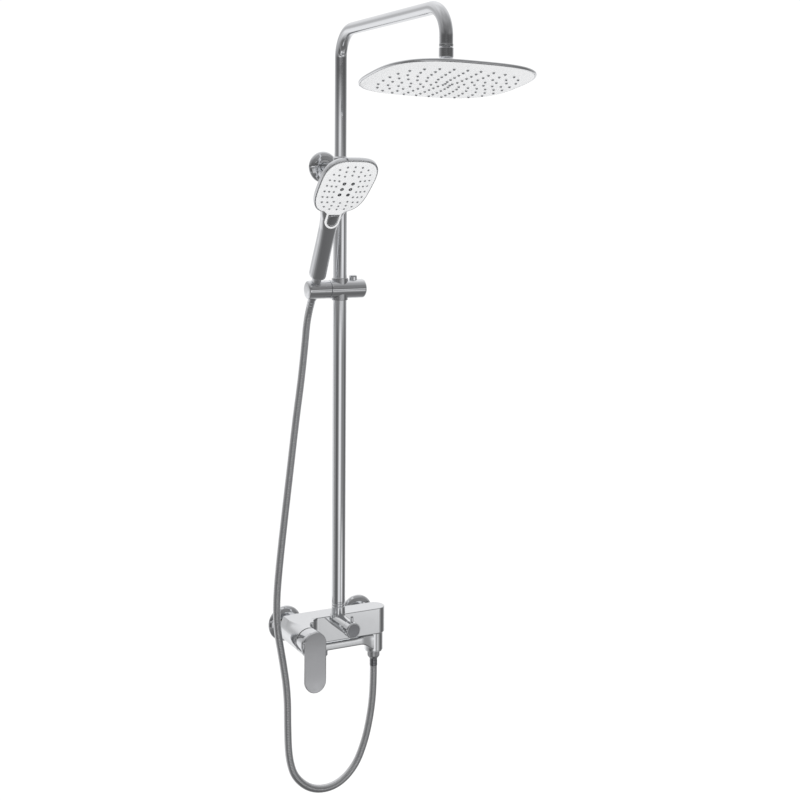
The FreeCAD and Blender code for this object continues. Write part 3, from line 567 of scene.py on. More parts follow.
def rrect(hw, z0, z1, x, cy, rad, n=10):
    pts = []
    hh, cz = (z1 - z0) / 2, (z0 + z1) / 2
    for sy, sz, t0 in ((1, 1, 0), (-1, 1, 90), (-1, -1, 180), (1, -1, 270)):
        for k in range(n + 1):
            t = math.radians(t0 + 90 * k / n)
            pts.append(Vector((x, cy + sy * (hw - rad) + rad * math.cos(t), cz + sz * (hh - rad) + rad * math.sin(t))))
    return pts


rows = []
for k in range(17):
    x = -35.2 + 13.9 * (1 - math.cos(math.pi / 2 * k / 16))
    d = (-21.3 - x) / 13.9
    w = 14.0 * math.sqrt(max(1 - d * d, 0.0)) if d > 0 else 14.0
    w = max(w, 1.2)
    rows.append(rrect(w, -43.0 + 1.3 * max(0, d) ** 6, -29.0 - 1.3 * max(0, d) ** 6, x, CY, min(2.6, w * 0.8)))
for k in range(1, 61):
    x = -21.3 + 108.0 * k / 60
    f = ease((x - 40.0) / 40.0)
    g = ease((x - 52.0) / 30.0)
    rows.append(rrect(14.0 + 2.2 * g, -43.0 - 13.0 * g * g, -29.0 + 4.3 * f, x, CY, 2.6 + 1.5 * g))
sp_parts.append(loft("bar", rows, CHROME_CAST, (True, True), 30))
tool = lathe("t1", [(0, -70), (12.05, -70), (12.05, -10), (0, -10)], (CX, CY, 0), Z, DARK, 96, 0)
sp_parts[1] = boolean(sp_parts[1], tool, angle=30)
spout = join("bath_spout_cast", sp_parts)
done(spout, "spout", "chrome_brass", "bath_spout")
ob = lathe("aerator_ring", [(9.8, -46.0), (9.8, -53.2), (12.2, -53.2), (13.0, -52.4), (13.0, -43.6), (12.4, -43.0)], (-21.3, CY, 0), Z, CHROME, 96, 0.5,
           shape=lambda t, r, h: r - (0.25 if (r > 12.9 and int(t / (2 * math.pi) * 96) % 4 == 0) else 0))
done(ob, "spout", "chrome_brass", "aerator_housing")
ob = lathe("spout_retainer_ring", [(10.55, -60.8), (15.8, -60.8), (16.4, -60.2), (16.4, -58.6), (10.55, -58.6)], (CX, CY, 0), Z, CHROME, 96, 0.3, True)
done(ob, "root", "grey_plastic", "spout_retainer")
ob = lathe("outlet_post_turned", [(6.0, -71.0), (10.0, -71.0), (10.48, -70.2)] + [p for k in range(7) for p in ((10.48, -69.6 + k * 1.3), (9.9, -69.0 + k * 1.3))] + [(10.48, -60.0), (10.48, -58.8), (12.0, -58.6), (12.0, -24.0), (7.9, -24.0), (7.9, -16.0), (6.0, -16.0)],
           (CX, CY, 0), Z, BRASS, 64, 0.1, True)
done(ob, "root", "chrome_brass", "outlet_post")

# hose nut and ferrule below the outlet
# the knurled nut uses the darker chrome copy: painted shade under the body
ob = lathe("hose_nut_knurled", [(7.3, -76.0), (8.4, -75.2), (11.2, -71.6), (11.6, -70.8), (11.6, -62.4), (11.1, -61.7), (10.5, -61.7), (10.5, -70.0), (7.3, -71.0)], (CX, CY, 0), Z, SHADED_CHROME, 120, 0.3, True, 30,
           lambda t, r, h: r - (0.45 if (r > 11.4 and -70.5 < h < -62.6 and int(t / (2 * math.pi) * 120) % 5 in (0, 1)) else 0.0))
done(ob, "root", "chrome_brass", "hose_nut_lower")
ob = lathe("hose_ferrule_crimped", [(4.0, -90.0), (7.0, -90.0), (7.25, -89.4), (7.25, -86.0), (6.9, -85.4), (6.9, -84.6), (7.25, -84.0), (7.25, -80.0), (6.9, -79.4), (6.9, -78.6), (7.25, -78.0), (7.2, -73.0), (4.0, -73.0)], (CX, CY, 0), Z, SMOKE, 64, 0.2, True)
done(ob, "root", "chrome_brass", "hose_ferrule_lower")

# ------------------------------------------------------------------ riser
ob = lathe("riser_base_turned", [(8.6, 31.6), (12.4, 31.6), (12.7, 32.0), (12.7, 44.6), (11.7, 45.4), (11.7, 46.2), (12.7, 47.0), (12.7, 49.6), (11.7, 50.4), (11.7, 51.2), (12.7, 52.0), (12.7, 54.2), (11.4, 54.6), (11.4, 81.6), (8.6, 81.6)],
           (0, -80, 0), Z, CHROME, 96, 0.25, True)
done(ob, "root", "chrome_brass", "riser_base_fitting")
ob = lathe("lower_riser_tube", [(11.5, 54.6), (12.5, 54.6), (12.7, 54.9), (12.7, 871.7), (12.5, 872.0), (11.5, 872.0)], (0, -80, 0), Z, CHROME, 128, 0, True)
done(ob, "root", "chrome_brass", "lower_riser")
ob = lathe("riser_top_nut_turned", [(11.15, 872.0), (14.0, 872.0), (14.6, 872.6), (14.6, 880.0), (12.6, 882.8), (11.15, 883.0)], (0, -80, 0), Z, CHROME, 96, 0.5, True)
done(ob, "root", "chrome_brass", "riser_top_nut")
arc = [Vector((0, -80, 800 + 267.0 * k / 12)) for k in range(13)]
arc += [Vector((0, -130 + 50 * math.cos(t), 1067 + 50 * math.sin(t))) for t in [math.pi / 2 * k / 48 for k in range(1, 49)]]
arc += [Vector((0, -130 - 302 * k / 12, 1117)) for k in range(1, 13)]
arc += [Vector((0, -432 - 50 * math.sin(t), 1067 + 50 * math.cos(t))) for t in [math.pi / 2 * k / 48 for k in range(1, 49)]]
arc += [Vector((0, -482, 1067 - 12.7 * k / 4)) for k in range(1, 5)]
ob = sweep("shower_arm_tube", arc, 11.1, CHROME, 96, True)
done(ob, "root", "chrome_brass", "shower_arm")
ob = lathe("arm_outlet_ring", [(4.5, 1046.3), (7.0, 1046.3), (7.0, 1049.3), (11.0, 1049.3), (11.5, 1049.8), (11.5, 1053.8), (11.1, 1054.3), (9.8, 1054.4), (9.8, 1060.0), (4.5, 1060.0)], (0, -482, 0), Z, SATIN, 96, 0.3, True)
done(ob, "root", "chrome_brass", "arm_outlet_fitting")

# wall bracket
bp = [lathe("rod", [(0, 5.2), (9.0, 5.2), (9.0, 66.0)], (0, 0, 864.4), -Y, CHROME, 96, 0.3),
      lathe("collar", [(12.72, 850.4), (15.6, 850.4), (16.2, 851.0), (16.2, 871.2), (15.6, 871.8), (12.72, 871.8)], (0, -80, 0), Z, CHROME, 128, 0.6, True)]
rows = []
for k in range(13):
    f = ease(k / 12)
    r = 9.0 + 1.8 * f
    rows.append([Vector((r * math.cos(t), -56.0 - 12.0 * k / 12, 864.4 + (r if True else 0) * math.sin(t) * (1 - 0.1 * f) - 1.2 * f)) for t in [2 * math.pi * i / 96 for i in range(96)]])
bp.append(loft("neck", rows, CHROME, (False, False), 40))
br = join("bracket_arm_cast", bp)
done(br, "root", "chrome_brass", "bracket_arm")
ob = lathe("bracket_rose_dome", [(9.3, 0.2), (9.3, 10.2), (15.0, 10.2), (21.5, 8.9), (26.8, 6.0), (29.4, 3.0), (30.0, 1.0), (30.0, 0.0), (28.4, 0.0), (23.0, 6.4), (12.0, 8.6), (11.0, 0.2)],
           (0, 0, 864.4), -Y, CHROME, 128, 1.2, True)
done(ob, "root", "chrome_brass", "bracket_rose")

# ------------------------------------------------------------------ slider
SY, SZ = -80.0, 636.0
cl = lathe("clamp", [(0, -22.0), (16.6, -22.0), (17.5, -21.1), (17.5, -14.0), (17.5, 45.5), (16.6, 47.4), (15.0, 48.6), (12.5, 49.0), (0, 49.0)], (0, SY, SZ), X, CHROME, 128, 0.7)
cl = boolean(cl, lathe("t", [(0, 600), (15.06, 600), (15.06, 670), (0, 670)], (0, SY, 0), Z, CHROME, 128, 0))
cl = boolean(cl, lathe("t", [(0, 634), (7.6, 634), (7.6, 670), (0, 670)], (27.0, SY, 0), Z, CHROME, 64, 0))
nk = lathe("neckring", [(2.6, -34.0), (9.0, -34.0), (9.0, -21.0)], (0, SY, SZ), X, STEEL, 64, 0.2)
clamp = join("slider_clamp_cast", [cl, nk])
done(clamp, "slider", "chrome_brass", "slider_clamp")
ob = lathe("slider_lock_button_turned", [(7.3, 639.0), (7.5, 639.4), (7.5, 658.4), (6.9, 660.4), (5.2, 661.4), (2.5, 661.7), (0, 661.8)], (27.0, SY, 0), Z, CHROME, 64, 0.6)
done(ob, "slider_button", "chrome_brass", "slider_lock_button")
# the grey bush uses the darker chrome copy: its own grey plus painted shade at the clamp
ob = lathe("slider_bush_moulded", [(12.75, 615.5), (14.4, 615.5), (15.0, 616.1), (15.0, 655.9), (14.4, 656.5), (12.75, 656.5)], (0, SY, 0), Z, SHADED_CHROME, 96, 0.3, True)
done(ob, "carriage", "grey_plastic", "slider_bush")

hd = lathe("holder", [(0, 22.4), (16.4, 22.4), (17.0, 23.0), (17.0, 34.2), (16.75, 34.5), (16.75, 34.9), (17.0, 35.2), (17.0, 63.6), (16.3, 65.4), (14.6, 66.6), (12.0, 67.4), (7.0, 67.9), (0, 68.0)], (0, SY, SZ), -X, CHROME, 160, 0.5)
HAND = Matrix.Translation((-52.0, -80.0, 636.0)) @ Matrix.Rotation(math.radians(30), 4, "X")
sock = lathe("t", [(0, -29), (8.30, -29), (10.62, 29), (0, 29)], HAND @ Vector((0, 0, 0)), HAND.to_3x3() @ Z, CHROME, 96, 0)
hd = boolean(hd, sock)
slot_v = [HAND @ Vector((x, y, z)) for z in (-35, 35) for y in (0, 30) for x in (-7.7, 7.7)]
slt = add("t", slot_v, [(0, 1, 3, 2), (4, 6, 7, 5), (0, 4, 5, 1), (2, 3, 7, 6), (0, 2, 6, 4), (1, 5, 7, 3)], CHROME)
hd = boolean(hd, slt)
hd = boolean(hd, lathe("t", [(0, 20), (9.06, 20), (9.06, 34.3), (0, 34.3)], (0, SY, SZ), -X, CHROME, 64, 0))
hd.name = "handset_holder_cast"
done(hd, "holder", "chrome_brass", "handset_holder")

# ------------------------------------------------------------------ hand shower
H3 = HAND.to_3x3()
HEAD = HAND @ Matrix.Translation((0, -22.5, 231.5)) @ Matrix.Rotation(math.radians(107), 4, "X")
FX, FY = 51.5, 66.5


def head_ring(ins, z, m=3.2, n=192, taper=0.055, cx=0.0, cy=0.0):
    return [HEAD @ Vector((x + cx, y + cy, z)) for x, y in outline(FX - ins, FY - ins, m, n, taper)]


# back shell: rim, flank and dome, melted into the grip by a fine remesh and smoothing
rows = [head_ring(1.4, -3.0), head_ring(0.2, -0.3), head_ring(0.0, -1.5), head_ring(0.0, -6.5), head_ring(0.7, -9.0), head_ring(2.6, -11.6), head_ring(6.0, -14.2, 2.95), head_ring(11.0, -16.9, 2.9),
        head_ring(18.0, -19.2, 2.8), head_ring(27.0, -20.8, 2.6), head_ring(38.0, -21.6, 2.4), head_ring(49.0, -21.9, 2.2)]
pan = loft("pan", rows, CHROME, (True, True), 60)


def hoval(rx, ry, m, z, y0, n=96):
    return [HAND @ Vector((x, y + y0, z)) for x, y in outline(rx, ry, m, n)]


def spline(tab, z):
    for a, b in zip(tab, tab[1:]):
        if z <= b[0]:
            f = (z - a[0]) / (b[0] - a[0])
            f = min(max(f, 0), 1)
            return [u + (v - u) * f for u, v in zip(a[1:], b[1:])]
    return list(tab[-1][1:])


GRIP = [(29.0, 14.6, 13.8, 2.4, 0.9), (33.0, 15.4, 14.6, 2.5, 1.8), (66.0, 15.2, 14.6, 2.6, 4.0), (100.0, 15.0, 14.0, 2.7, 5.4), (132.0, 15.7, 12.8, 2.8, 6.4), (152.0, 18.6, 11.2, 2.8, 5.4), (166.0, 23.5, 9.3, 2.9, 3.1), (182.0, 29.0, 7.0, 3.0, -1.2)]
rows = [hoval(13.2, 12.6, 2.3, 28.6, 0.8)] + [hoval(*[spline(GRIP, z)[i] for i in (0, 1, 2)], z, spline(GRIP, z)[3]) for z in [29.2 + 2.6 * k for k in range(61)]]
grip = loft("grip", rows, CHROME, (True, True), 60)
shell = join("hand_shell", [pan, grip])
rm = shell.modifiers.new("r", "REMESH")
rm.mode = "VOXEL"
rm.voxel_size = 0.0011
apply_mods(shell)
sm = shell.modifiers.new("s", "SMOOTH")
sm.factor = 0.5
sm.iterations = 7
apply_mods(shell)
shell.data.shade_smooth()
shell.data.materials.clear()
shell.data.materials.append(CHROME)
rows = [head_ring(2.3, -3.2), head_ring(1.1, -0.75), head_ring(0.7, -0.35), head_ring(0.3, -0.4), head_ring(0.05, -0.9), head_ring(-0.08, -1.8), head_ring(-0.08, -6.4), head_ring(0.1, -7.6), head_ring(0.55, -8.9), head_ring(1.3, -10.1), head_ring(2.4, -11.35), head_ring(4.4, -12.9)]
rim = loft("rim", rows, CHROME, (False, False), 60)
neck = lathe("neck", [(6.9, 8.0), (6.9, 17.2), (8.4, 17.2), (8.7, 17.6), (8.7, 26.0), (9.3, 26.8), (9.3, 30.0)], HAND @ Vector((0, 0, 0)), H3 @ Z, CHROME, 64, 0.3)
shell = join("handset_shell_moulded", [shell, rim, neck])
done(shell, "handset", "chrome_plastic", "handset_shell")

# white face with its rounded edge, and the tongue that frames the button
rows = [head_ring(3.2, -3.0), head_ring(2.5, -0.4), head_ring(2.6, 0.5), head_ring(3.2, 1.1), head_ring(4.6, 1.6), head_ring(9.0, 2.45, 3.15), head_ring(13.0, 3.0, 3.1), head_ring(17.0, 3.55, 3.05), head_ring(22.0, 4.1, 3.0), head_ring(27.0, 4.5, 2.9), head_ring(32.0, 4.8, 2.8), head_ring(38.0, 5.05, 2.7), head_ring(45.0, 5.2, 2.6)]
face = loft("face", rows, WHITE, (True, True), 50)


def neck_front(z):
    rx, ry, m, y0 = spline(GRIP, z)
    return y0 - ry


def tongue_pt(s):
    """Centre line of the U-shaped rim, from one end to the other."""
    w, zl, zt = 12.6, 151.0, 173.0
    straight = zt - zl
    arcl = math.pi * w
    t = s * (2 * straight + arcl)
    if t < straight:
        x, z = -w, zt - t
    elif t < straight + arcl:
        a = (t - straight) / w
        x, z = -w * math.cos(a), zl - w * math.sin(a)
    else:
        x, z = w, zl + (t - straight - arcl)
    return x, z


rows = []
NT = 72
for i in range(NT + 1):
    x, z = tongue_pt(i / NT)
    x2, z2 = tongue_pt(min(i / NT + 0.004, 1.0)) if i < NT else (x, z)
    x1, z1 = tongue_pt(max(i / NT - 0.004, 0.0))
    d = Vector((x2 - x1, 0, z2 - z1)).normalized()
    side = d.cross(Vector((0, -1, 0)))
    rx, ry, m, y0 = spline(GRIP, z)
    sec = []
    for u, h in ((-1.9, -3.0), (-1.9, 0.2), (-1.5, 0.9), (-0.7, 1.25), (0, 1.3), (0.7, 1.25), (1.5, 0.9), (1.9, 0.2), (1.9, -3.0)):
        px, pz = x + side.x * u, z + side.z * u
        yy = y0 - ry * max(1 - abs(px / rx) ** m, 0.0) ** (1 / m)
        sec.append(HAND @ Vector((px, yy - h, pz)))
    rows.append(sec)
tongue = loft("tongue", rows, WHITE, (True, True), 50)
rows = []
for k in range(17):
    z = 166.3 + 18.6 * k / 16
    w = 14.5 + 8.5 * ease((z - 163.0) / 13.0)
    yf = -8.5 - 0.1 * (z - 166.0) + (0.6 if k == 0 else 0.15 if k == 1 else 0.0)
    row = []
    for i in range(41):
        u = math.cos(math.pi * (1 - i / 40))
        row.append(HAND @ Vector((u * w, yf + 5.2 * abs(u) ** 6, z)))
    zr = z + 1.2 if k == 0 else z + 0.3
    row += [HAND @ Vector((w - 0.6, yf + 7.0, zr)), HAND @ Vector((-w + 0.6, yf + 7.0, zr))]
    rows.append(row)
bridge = loft("bridge", rows, WHITE, (True, True), 40)
face = join("handset_face_moulded", [face, tongue, bridge])
done(face, "handset", "white_plastic", "handset_face")

# button
BUT = HAND @ Matrix.Translation((0, -3.8, 153.6)) @ Matrix.Rotation(math.radians(98), 4, "X")
bo = [(x, y * (1.0 if y > 0 else 1.0)) for x, y in outline(10.0, 11.8, 2.5, 96)]
rows = []
for ins, z in ((0.6, -3.5), (0.0, -3.0), (0.0, 2.6), (0.4, 3.3), (1.3, 3.8), (3.0, 4.1), (6.0, 4.2)):
    rows.append([BUT @ Vector((x * (1 - ins / 10.0), y * (1 - ins / 11.8), z - 0.012 * (x * (1 - ins / 10.0)) ** 2)) for x, y in bo])
ob = loft("handset_button_moulded", rows, SATIN, (True, True), 50)
done(ob, "handset_button", "chrome_plastic", "handset_button")


def nubs(name, pts, m4, z, r, h, mat, body, slot, node, tip=None, segs=16, oval_y=1.0):
    verts, faces = [], []
    prof = [(r * 1.25, -0.6), (r * 1.25, 0.0), (r, 0.25), (r * 0.9, h * 0.8), (r * 0.72, h), (r * 0.3, h), (r * 0.28, h - 0.5)]
    for px, py, pz in pts:
        b0 = len(verts)
        for rr, hh in prof:
            for k in range(segs):
                t = 2 * math.pi * k / segs
                verts.append(m4 @ Vector((px + rr * math.cos(t), py + rr * math.sin(t) * oval_y, pz + z * hh)))
        for i in range(len(prof) - 1):
            for k in range(segs):
                l = (k + 1) % segs
                faces.append((b0 + i * segs + k, b0 + i * segs + l, b0 + (i + 1) * segs + l, b0 + (i + 1) * segs + k))
        faces.append(tuple(b0 + (len(prof) - 1) * segs + k for k in range(segs)))
    ob = add(name, verts, faces, mat, 40)
    return done(ob, body, slot, node)


pts = []
for a, b, n, z in ((38.5, 54.0, 22, 2.85), (30.0, 44.5, 18, 3.95), (21.5, 35.0, 14, 4.65)):
    for x, y in even(a, b, 3.0, n):
        pts.append((x, y, z))
nubs("handset_nozzles_nubs", pts, HEAD, 1, 1.75, 1.1, NUB, "handset", "nozzle_rubber", "handset_nozzles")
pts = [(x, y, 5.0) for x in (-8.0, 8.0) for y in (-14.0, 0.0, 14.0)]
nubs("handset_jets_ports", pts, HEAD, 1, 3.15, 0.6, DARK, "handset", "dark_plastic", "handset_jets", oval_y=1.1, segs=28)

ob = lathe("hose_cone_nut_turned", [(5.0, -20.0), (8.2, -20.0), (8.62, -19.5), (9.96, 14.2), (10.0, 14.8), (10.0, 16.6), (9.5, 17.0), (7.0, 17.0), (7.0, 8.0)], HAND @ Vector((0, 0, 0)), H3 @ Z, CHROME, 96, 0.3)
done(ob, "handset", "chrome_brass", "hose_cone_nut")
ob = lathe("hose_ferrule_upper_crimped", [(4.0, -38.0), (7.0, -38.0), (7.3, -37.5), (7.3, -33.0), (6.95, -32.4), (6.95, -31.6), (7.3, -31.0), (7.3, -27.0), (6.95, -26.4), (6.95, -25.6), (7.3, -25.0), (7.3, -20.0)], HAND @ Vector((0, 0, 0)), H3 @ Z, CHROME, 64, 0.2)
done(ob, "handset", "chrome_brass", "hose_ferrule_upper")

# ------------------------------------------------------------------ rain head
BALL = Matrix.Translation((0, -482.0, 1037.5))
TILT = BALL @ Matrix.Rotation(math.radians(-9.1), 4, "X") @ Matrix.Rotation(math.radians(1.8), 4, "Y")
T3 = TILT.to_3x3()
HX, HY = 135.0, 111.0
NR = 256


def rain_ring(ax, ay, m, z):
    return [TILT @ Vector((x, y, z)) for x, y in outline(ax, ay, m, NR)]


tab = [(0.0, HX, HY, 3.0, -39.0), (0.06, HX - 8, HY - 8, 3.0, -36.7), (0.3, HX - 40, HY - 34, 2.9, -30.4), (0.6, HX - 80, HY - 66, 2.6, -23.6), (0.8, 30.0, 26.0, 2.2, -18.4), (1.0, 17.5, 17.5, 2.0, -16.6)]


def smooth_tab(s):
    """Catmull-Rom through the table rows."""
    n = len(tab)
    for i in range(n - 1):
        if s <= tab[i + 1][0] or i == n - 2:
            p0, p1, p2, p3 = tab[max(i - 1, 0)], tab[i], tab[i + 1], tab[min(i + 2, n - 1)]
            h = p2[0] - p1[0]
            u = (s - p1[0]) / h
            out = []
            for c in range(1, 5):
                m1 = (p2[c] - p0[c]) / (p2[0] - p0[0]) * h if p2[0] != p0[0] else 0
                m2 = (p3[c] - p1[c]) / (p3[0] - p1[0]) * h if p3[0] != p1[0] else 0
                out.append((2 * u ** 3 - 3 * u ** 2 + 1) * p1[c] + (u ** 3 - 2 * u ** 2 + u) * m1 + (-2 * u ** 3 + 3 * u ** 2) * p2[c] + (u ** 3 - u ** 2) * m2)
            return out


rows = [rain_ring(HX - 2.4, HY - 2.4, 3.0, -41.0), rain_ring(HX - 2.2, HY - 2.2, 3.0, -43.2), rain_ring(HX - 1.6, HY - 1.6, 3.0, -43.7), rain_ring(HX - 0.7, HY - 0.7, 3.0, -43.5), rain_ring(HX, HY, 3.0, -42.6), rain_ring(HX + 0.1, HY + 0.1, 3.0, -41.2), rain_ring(HX, HY, 3.0, -39.8)]
for k in range(1, 41):
    ax, ay, m, z = smooth_tab((k / 40) ** 1.3)
    rows.append(rain_ring(ax, ay, m, z))
dome = loft("dome", rows, CHROME, (False, True), 50)
col = lathe("col", [(17.6, -16.6), (15.3, -14.6), (15.3, -10.6), (14.8, -10.0), (6.9, -10.0)], TILT @ Vector((0, 0, 0)), T3 @ Z, CHROME, 96, 0.4)
rs = join("rain_head_shell_moulded", [dome, col])
done(rs, "rain_head", "chrome_plastic", "rain_head_shell")
rows = []
for ins, z in ((3.0, -41.0), (2.3, -42.9), (2.6, -43.6), (3.6, -44.2), (7.0, -45.3), (12.0, -46.4), (20.0, -47.6), (32.0, -48.5), (60.0, -49.1), (100.0, -49.3)):
    rows.append(rain_ring(HX - ins, HY - ins, 3.0, z))
ob = loft("rain_head_face_moulded", rows, WHITE, (True, True), 50)
done(ob, "rain_head", "white_plastic", "rain_head_face")
pts = []
for a, b, n, z in ((108.0, 85.0, 28, -48.2), (92.0, 70.5, 24, -48.75), (76.0, 56.0, 20, -49.0), (60.0, 42.0, 16, -49.1), (44.0, 28.5, 12, -49.2), (27.0, 15.5, 8, -49.3), (10.0, 4.5, 4, -49.3)):
    for x, y in even(a, b, 3.0, n):
        pts.append((x, y, z))
nubs("rain_head_nozzles_nubs", pts, TILT, -1, 1.95, 1.7, NUB, "rain_head", "nozzle_rubber", "rain_head_nozzles")
ob = lathe("ball_joint_nut_turned", [(7.1, -7.0), (10.0, -7.0), (10.6, -6.4), (11.8, -4.4), (11.8, 10.0), (11.3, 10.7), (7.06, 10.7), (7.06, 4.5), (8.1, 0.0)], (0, -482, 1037.5), Z, CHROME, 96, 0.3, True)
done(ob, "head_swivel", "chrome_brass", "ball_joint_nut")
sp_ = [(8.0 * math.sin(math.pi * k / 24), 8.0 * math.cos(math.pi * k / 24)) for k in range(0, 20)]
ob = lathe("head_ball_stem_turned", sp_ + [(4.6, -7.5), (4.6, -14.5), (7.9, -15.0), (7.9, -21.5), (3.2, -22.0)], TILT @ Vector((0, 0, 0)), T3 @ Z, STEEL, 64, 0.2)
done(ob, "rain_head", "brass", "head_ball_stem")

# ------------------------------------------------------------------ finishes of the nodes that stay
KEEP = {
    "supply_tail_hot": BRASS, "supply_tail_cold": BRASS, "inlet_washers": RUBBER, "cartridge_shell": GREY, "cartridge_nut": BRASS, "ceramic_discs": CERAMIC, "cartridge_rotor": GREY,
    "cartridge_stem": BRASS, "lever_grub_screw": STEEL, "diverter_cartridge": GREY, "diverter_spindle": BRASS, "aerator_insert": GREY, "bracket_base": STEEL, "bracket_screws": STEEL,
    "bracket_grub_screw": STEEL, "slider_lock_spring": STEEL, "holder_pivot_screw": STEEL, "handset_water_chamber": GREY, "handset_water_tube": GREY, "rain_head_chamber": GREY,
}
for name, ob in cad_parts.items():
    mat = KEEP.get(name, CHROME)
    for s in ob.material_slots:
        s.material = mat

# ------------------------------------------------------------------ studio
me = bpy.data.meshes.new("floor")
me.from_pydata([(-30, -30, -0.95), (30, -30, -0.95), (30, 30, -0.95), (-30, 30, -0.95)], [], [(0, 1, 2, 3)])
floor = bpy.data.objects.new("floor", me)
bpy.context.collection.objects.link(floor)
fm, nt, b = new_mat("floor_pale")
b.inputs["Base Color"].default_value = (0.975, 0.975, 0.975, 1)
b.inputs["Roughness"].default_value = 1.0
b.inputs["Specular IOR Level"].default_value = 0.0
me.materials.append(fm)
floor.visible_glossy = False

world = bpy.data.worlds.new("studio")
bpy.context.scene.world = world
world.use_nodes = True
nt = world.node_tree
for n in list(nt.nodes):
    nt.nodes.remove(n)
out = nt.nodes.new("ShaderNodeOutputWorld")
tc = nt.nodes.new("ShaderNodeTexCoord")
sep = nt.nodes.new("ShaderNodeSeparateXYZ")
link(nt, tc.outputs["Generated"], sep.inputs[0])


def math_node(op, a, b=None):
    n = nt.nodes.new("ShaderNodeMath")
    n.operation = op
    for i, v in enumerate((a, b)):
        if v is None:
            continue
        if isinstance(v, (int, float)):
            n.inputs[i].default_value = v
        else:
            link(nt, v, n.inputs[i])
    return n.outputs[0]


az = math_node("ARCTAN2", sep.outputs["Y"], sep.outputs["X"])
t = math_node("FRACT", math_node("ADD", math_node("MULTIPLY", az, 1 / (2 * math.pi)), 117.2 / 360.0 + 0.5 + 1.0))
def mix(fac, a, b):
    n = nt.nodes.new("ShaderNodeMix")
    n.data_type = "RGBA"
    link(nt, fac, n.inputs["Factor"])
    for s, v in (("A", a), ("B", b)):
        sock = [i for i in n.inputs if i.name == s and i.type == "RGBA"][0]
        if isinstance(v, tuple):
            sock.default_value = v
        else:
            link(nt, v, sock)
    return [o for o in n.outputs if o.type == "RGBA"][0]


def step(val, lo, hi):
    n = nt.nodes.new("ShaderNodeMapRange")
    n.interpolation_type = "SMOOTHSTEP"
    n.inputs["From Min"].default_value = lo
    n.inputs["From Max"].default_value = hi
    link(nt, val, n.inputs["Value"])
    return n.outputs["Result"]


def strip(bands):
    """One level of the studio: (degrees round the room, grey); 0 is behind the camera, positive to its right."""
    ramp = nt.nodes.new("ShaderNodeValToRGB")
    cr = ramp.color_ramp
    cr.interpolation = "EASE"
    while len(cr.elements) < len(bands):
        cr.elements.new(0.5)
    for e, (d, v) in zip(cr.elements, bands):
        e.position = (d + 180) / 360.0
    for e, (d, v) in zip(cr.elements, bands):
        e.color = (v, v, v * 1.012, 1)
    link(nt, t, ramp.inputs["Fac"])
    return ramp.outputs["Color"]


LOW = [(-180, 0.80), (-122, 0.85), (-104, 0.60), (-84, 0.42), (-62, 0.28), (-46, 0.11), (-28, 0.12), (-10, 0.30), (0, 0.75), (10, 0.95), (24, 0.90), (36, 0.40), (56, 0.22), (76, 0.25), (98, 0.12), (126, 0.20), (146, 0.70), (180, 0.80)]


def FLAT(v):
    return [(-180, 0.85), (-122, 0.90), (-104, 0.60), (-84, 0.42), (-62, 0.28), (-46, 0.11), (-28, 0.12), (-10, 0.26), (0, 0.70), (10, 0.90), (22, 0.80), (32, 0.40), (40, 0.30), (47, v), (62, v), (72, 0.30), (98, 0.12), (126, 0.20), (146, 0.70), (180, 0.85)]


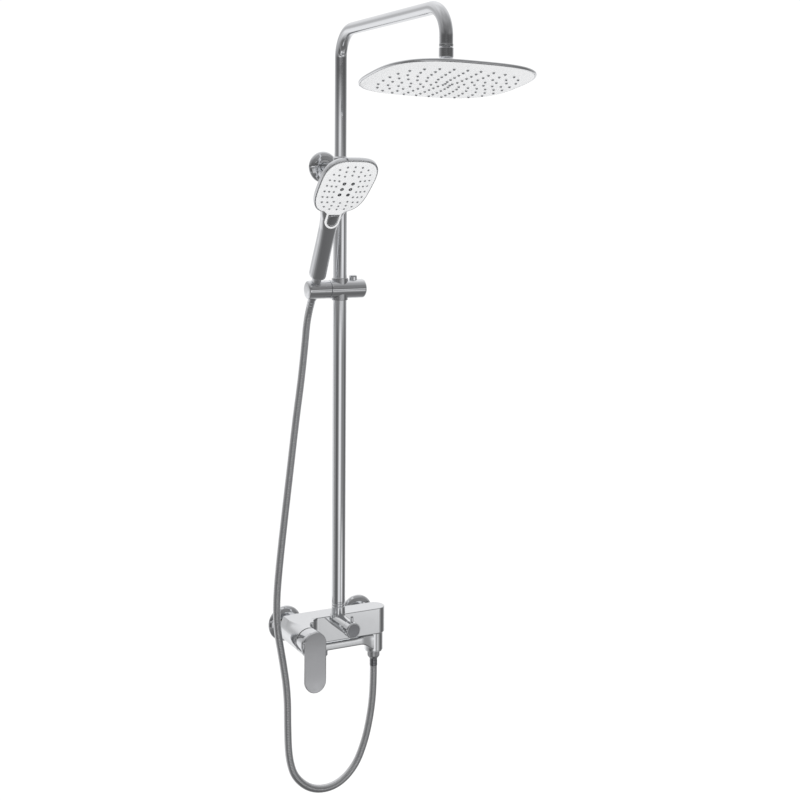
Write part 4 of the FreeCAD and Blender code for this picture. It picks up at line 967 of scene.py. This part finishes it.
ROOM = [
    (-90, [(-180, 0.16), (180, 0.16)]),
    (-55, [(-180, 0.30), (-120, 0.50), (-60, 0.16), (0, 0.14), (60, 0.14), (120, 0.20), (180, 0.30)]),
    (-36, [(-180, 0.60), (-120, 0.75), (-60, 0.22), (0, 0.15), (54, 0.17), (100, 0.16), (150, 0.50), (180, 0.60)]),
    (-25, [(-180, 0.80), (-120, 0.88), (-60, 0.35), (0, 0.22), (54, 0.40), (80, 0.35), (100, 0.18), (150, 0.60), (180, 0.80)]),
    (-24, FLAT(0.36)),
    (-20.5, FLAT(0.62)),
    (-18.5, FLAT(0.60)),
    (-16.8, FLAT(0.90)),
    (-15.2, FLAT(0.60)),
    (-13.5, LOW),
    (-7.5, LOW),
    (-2.5, [(-180, 0.80), (-124, 0.62), (-101, 0.48), (-78, 0.32), (-58, 0.26), (-36, 0.34), (-22, 0.30), (-8, 0.11), (8, 0.12), (26, 0.40), (38, 0.90), (60, 0.86), (78, 0.16), (104, 0.30), (140, 0.60), (180, 0.80)]),
    (2.5, [(-180, 0.80), (-126, 0.55), (-96, 0.32), (-70, 0.20), (-46, 0.24), (-30, 0.50), (-16, 0.85), (2, 0.85), (16, 0.48), (32, 0.32), (48, 0.20), (70, 0.17), (96, 0.15), (130, 0.34), (180, 0.80)]),
    (6.0, [(-180, 0.75), (-126, 0.50), (-96, 0.20), (-60, 0.10), (-20, 0.10), (0, 0.12), (30, 0.09), (60, 0.11), (96, 0.10), (124, 0.30), (180, 0.80)]),
    (13, [(-180, 0.80), (-120, 0.50), (-70, 0.24), (-20, 0.12), (30, 0.16), (60, 0.24), (100, 0.22), (140, 0.55), (180, 0.86)]),
    (28, [(-180, 0.85), (-130, 0.75), (-80, 0.40), (-30, 0.20), (30, 0.20), (60, 0.22), (100, 0.26), (150, 0.70), (180, 0.86)]),
    (55, [(-180, 0.90), (-100, 0.75), (-40, 0.40), (40, 0.34), (80, 0.38), (130, 0.65), (180, 0.90)]),
    (90, [(-180, 0.60), (180, 0.60)]),
]
elev = math_node("MULTIPLY", math_node("ARCSINE", sep.outputs["Z"]), 180 / math.pi)
room = strip(ROOM[0][1])
for (e0, b0), (e1, b1) in zip(ROOM, ROOM[1:]):
    room = mix(step(elev, e0, e1), room, strip(b1))
lp_ = nt.nodes.new("ShaderNodeLightPath")
col_ = mix(lp_.outputs["Is Glossy Ray"], (1.0, 1.0, 1.0, 1), room)
bg = nt.nodes.new("ShaderNodeBackground")
link(nt, col_, bg.inputs["Color"])
bg.inputs["Strength"].default_value = 1.05
link(nt, bg.outputs[0], out.inputs["Surface"])


def area(name, loc, at, size, power):
    l = bpy.data.lights.new(name, "AREA")
    l.shape = "RECTANGLE"
    l.size, l.size_y = size
    l.energy = power
    o = bpy.data.objects.new(name, l)
    o.location = loc
    o.visible_glossy = False
    o.rotation_euler = (Vector(at) - Vector(loc)).to_track_quat("-Z", "Y").to_euler()
    bpy.context.collection.objects.link(o)
    return o


area("key", (-2.2, -2.6, 2.6), (0, -0.2, 0.6), (1.2, 1.2), 14)
area("fill", (2.6, -2.4, 1.2), (0, -0.2, 0.5), (1.2, 2.0), 8)
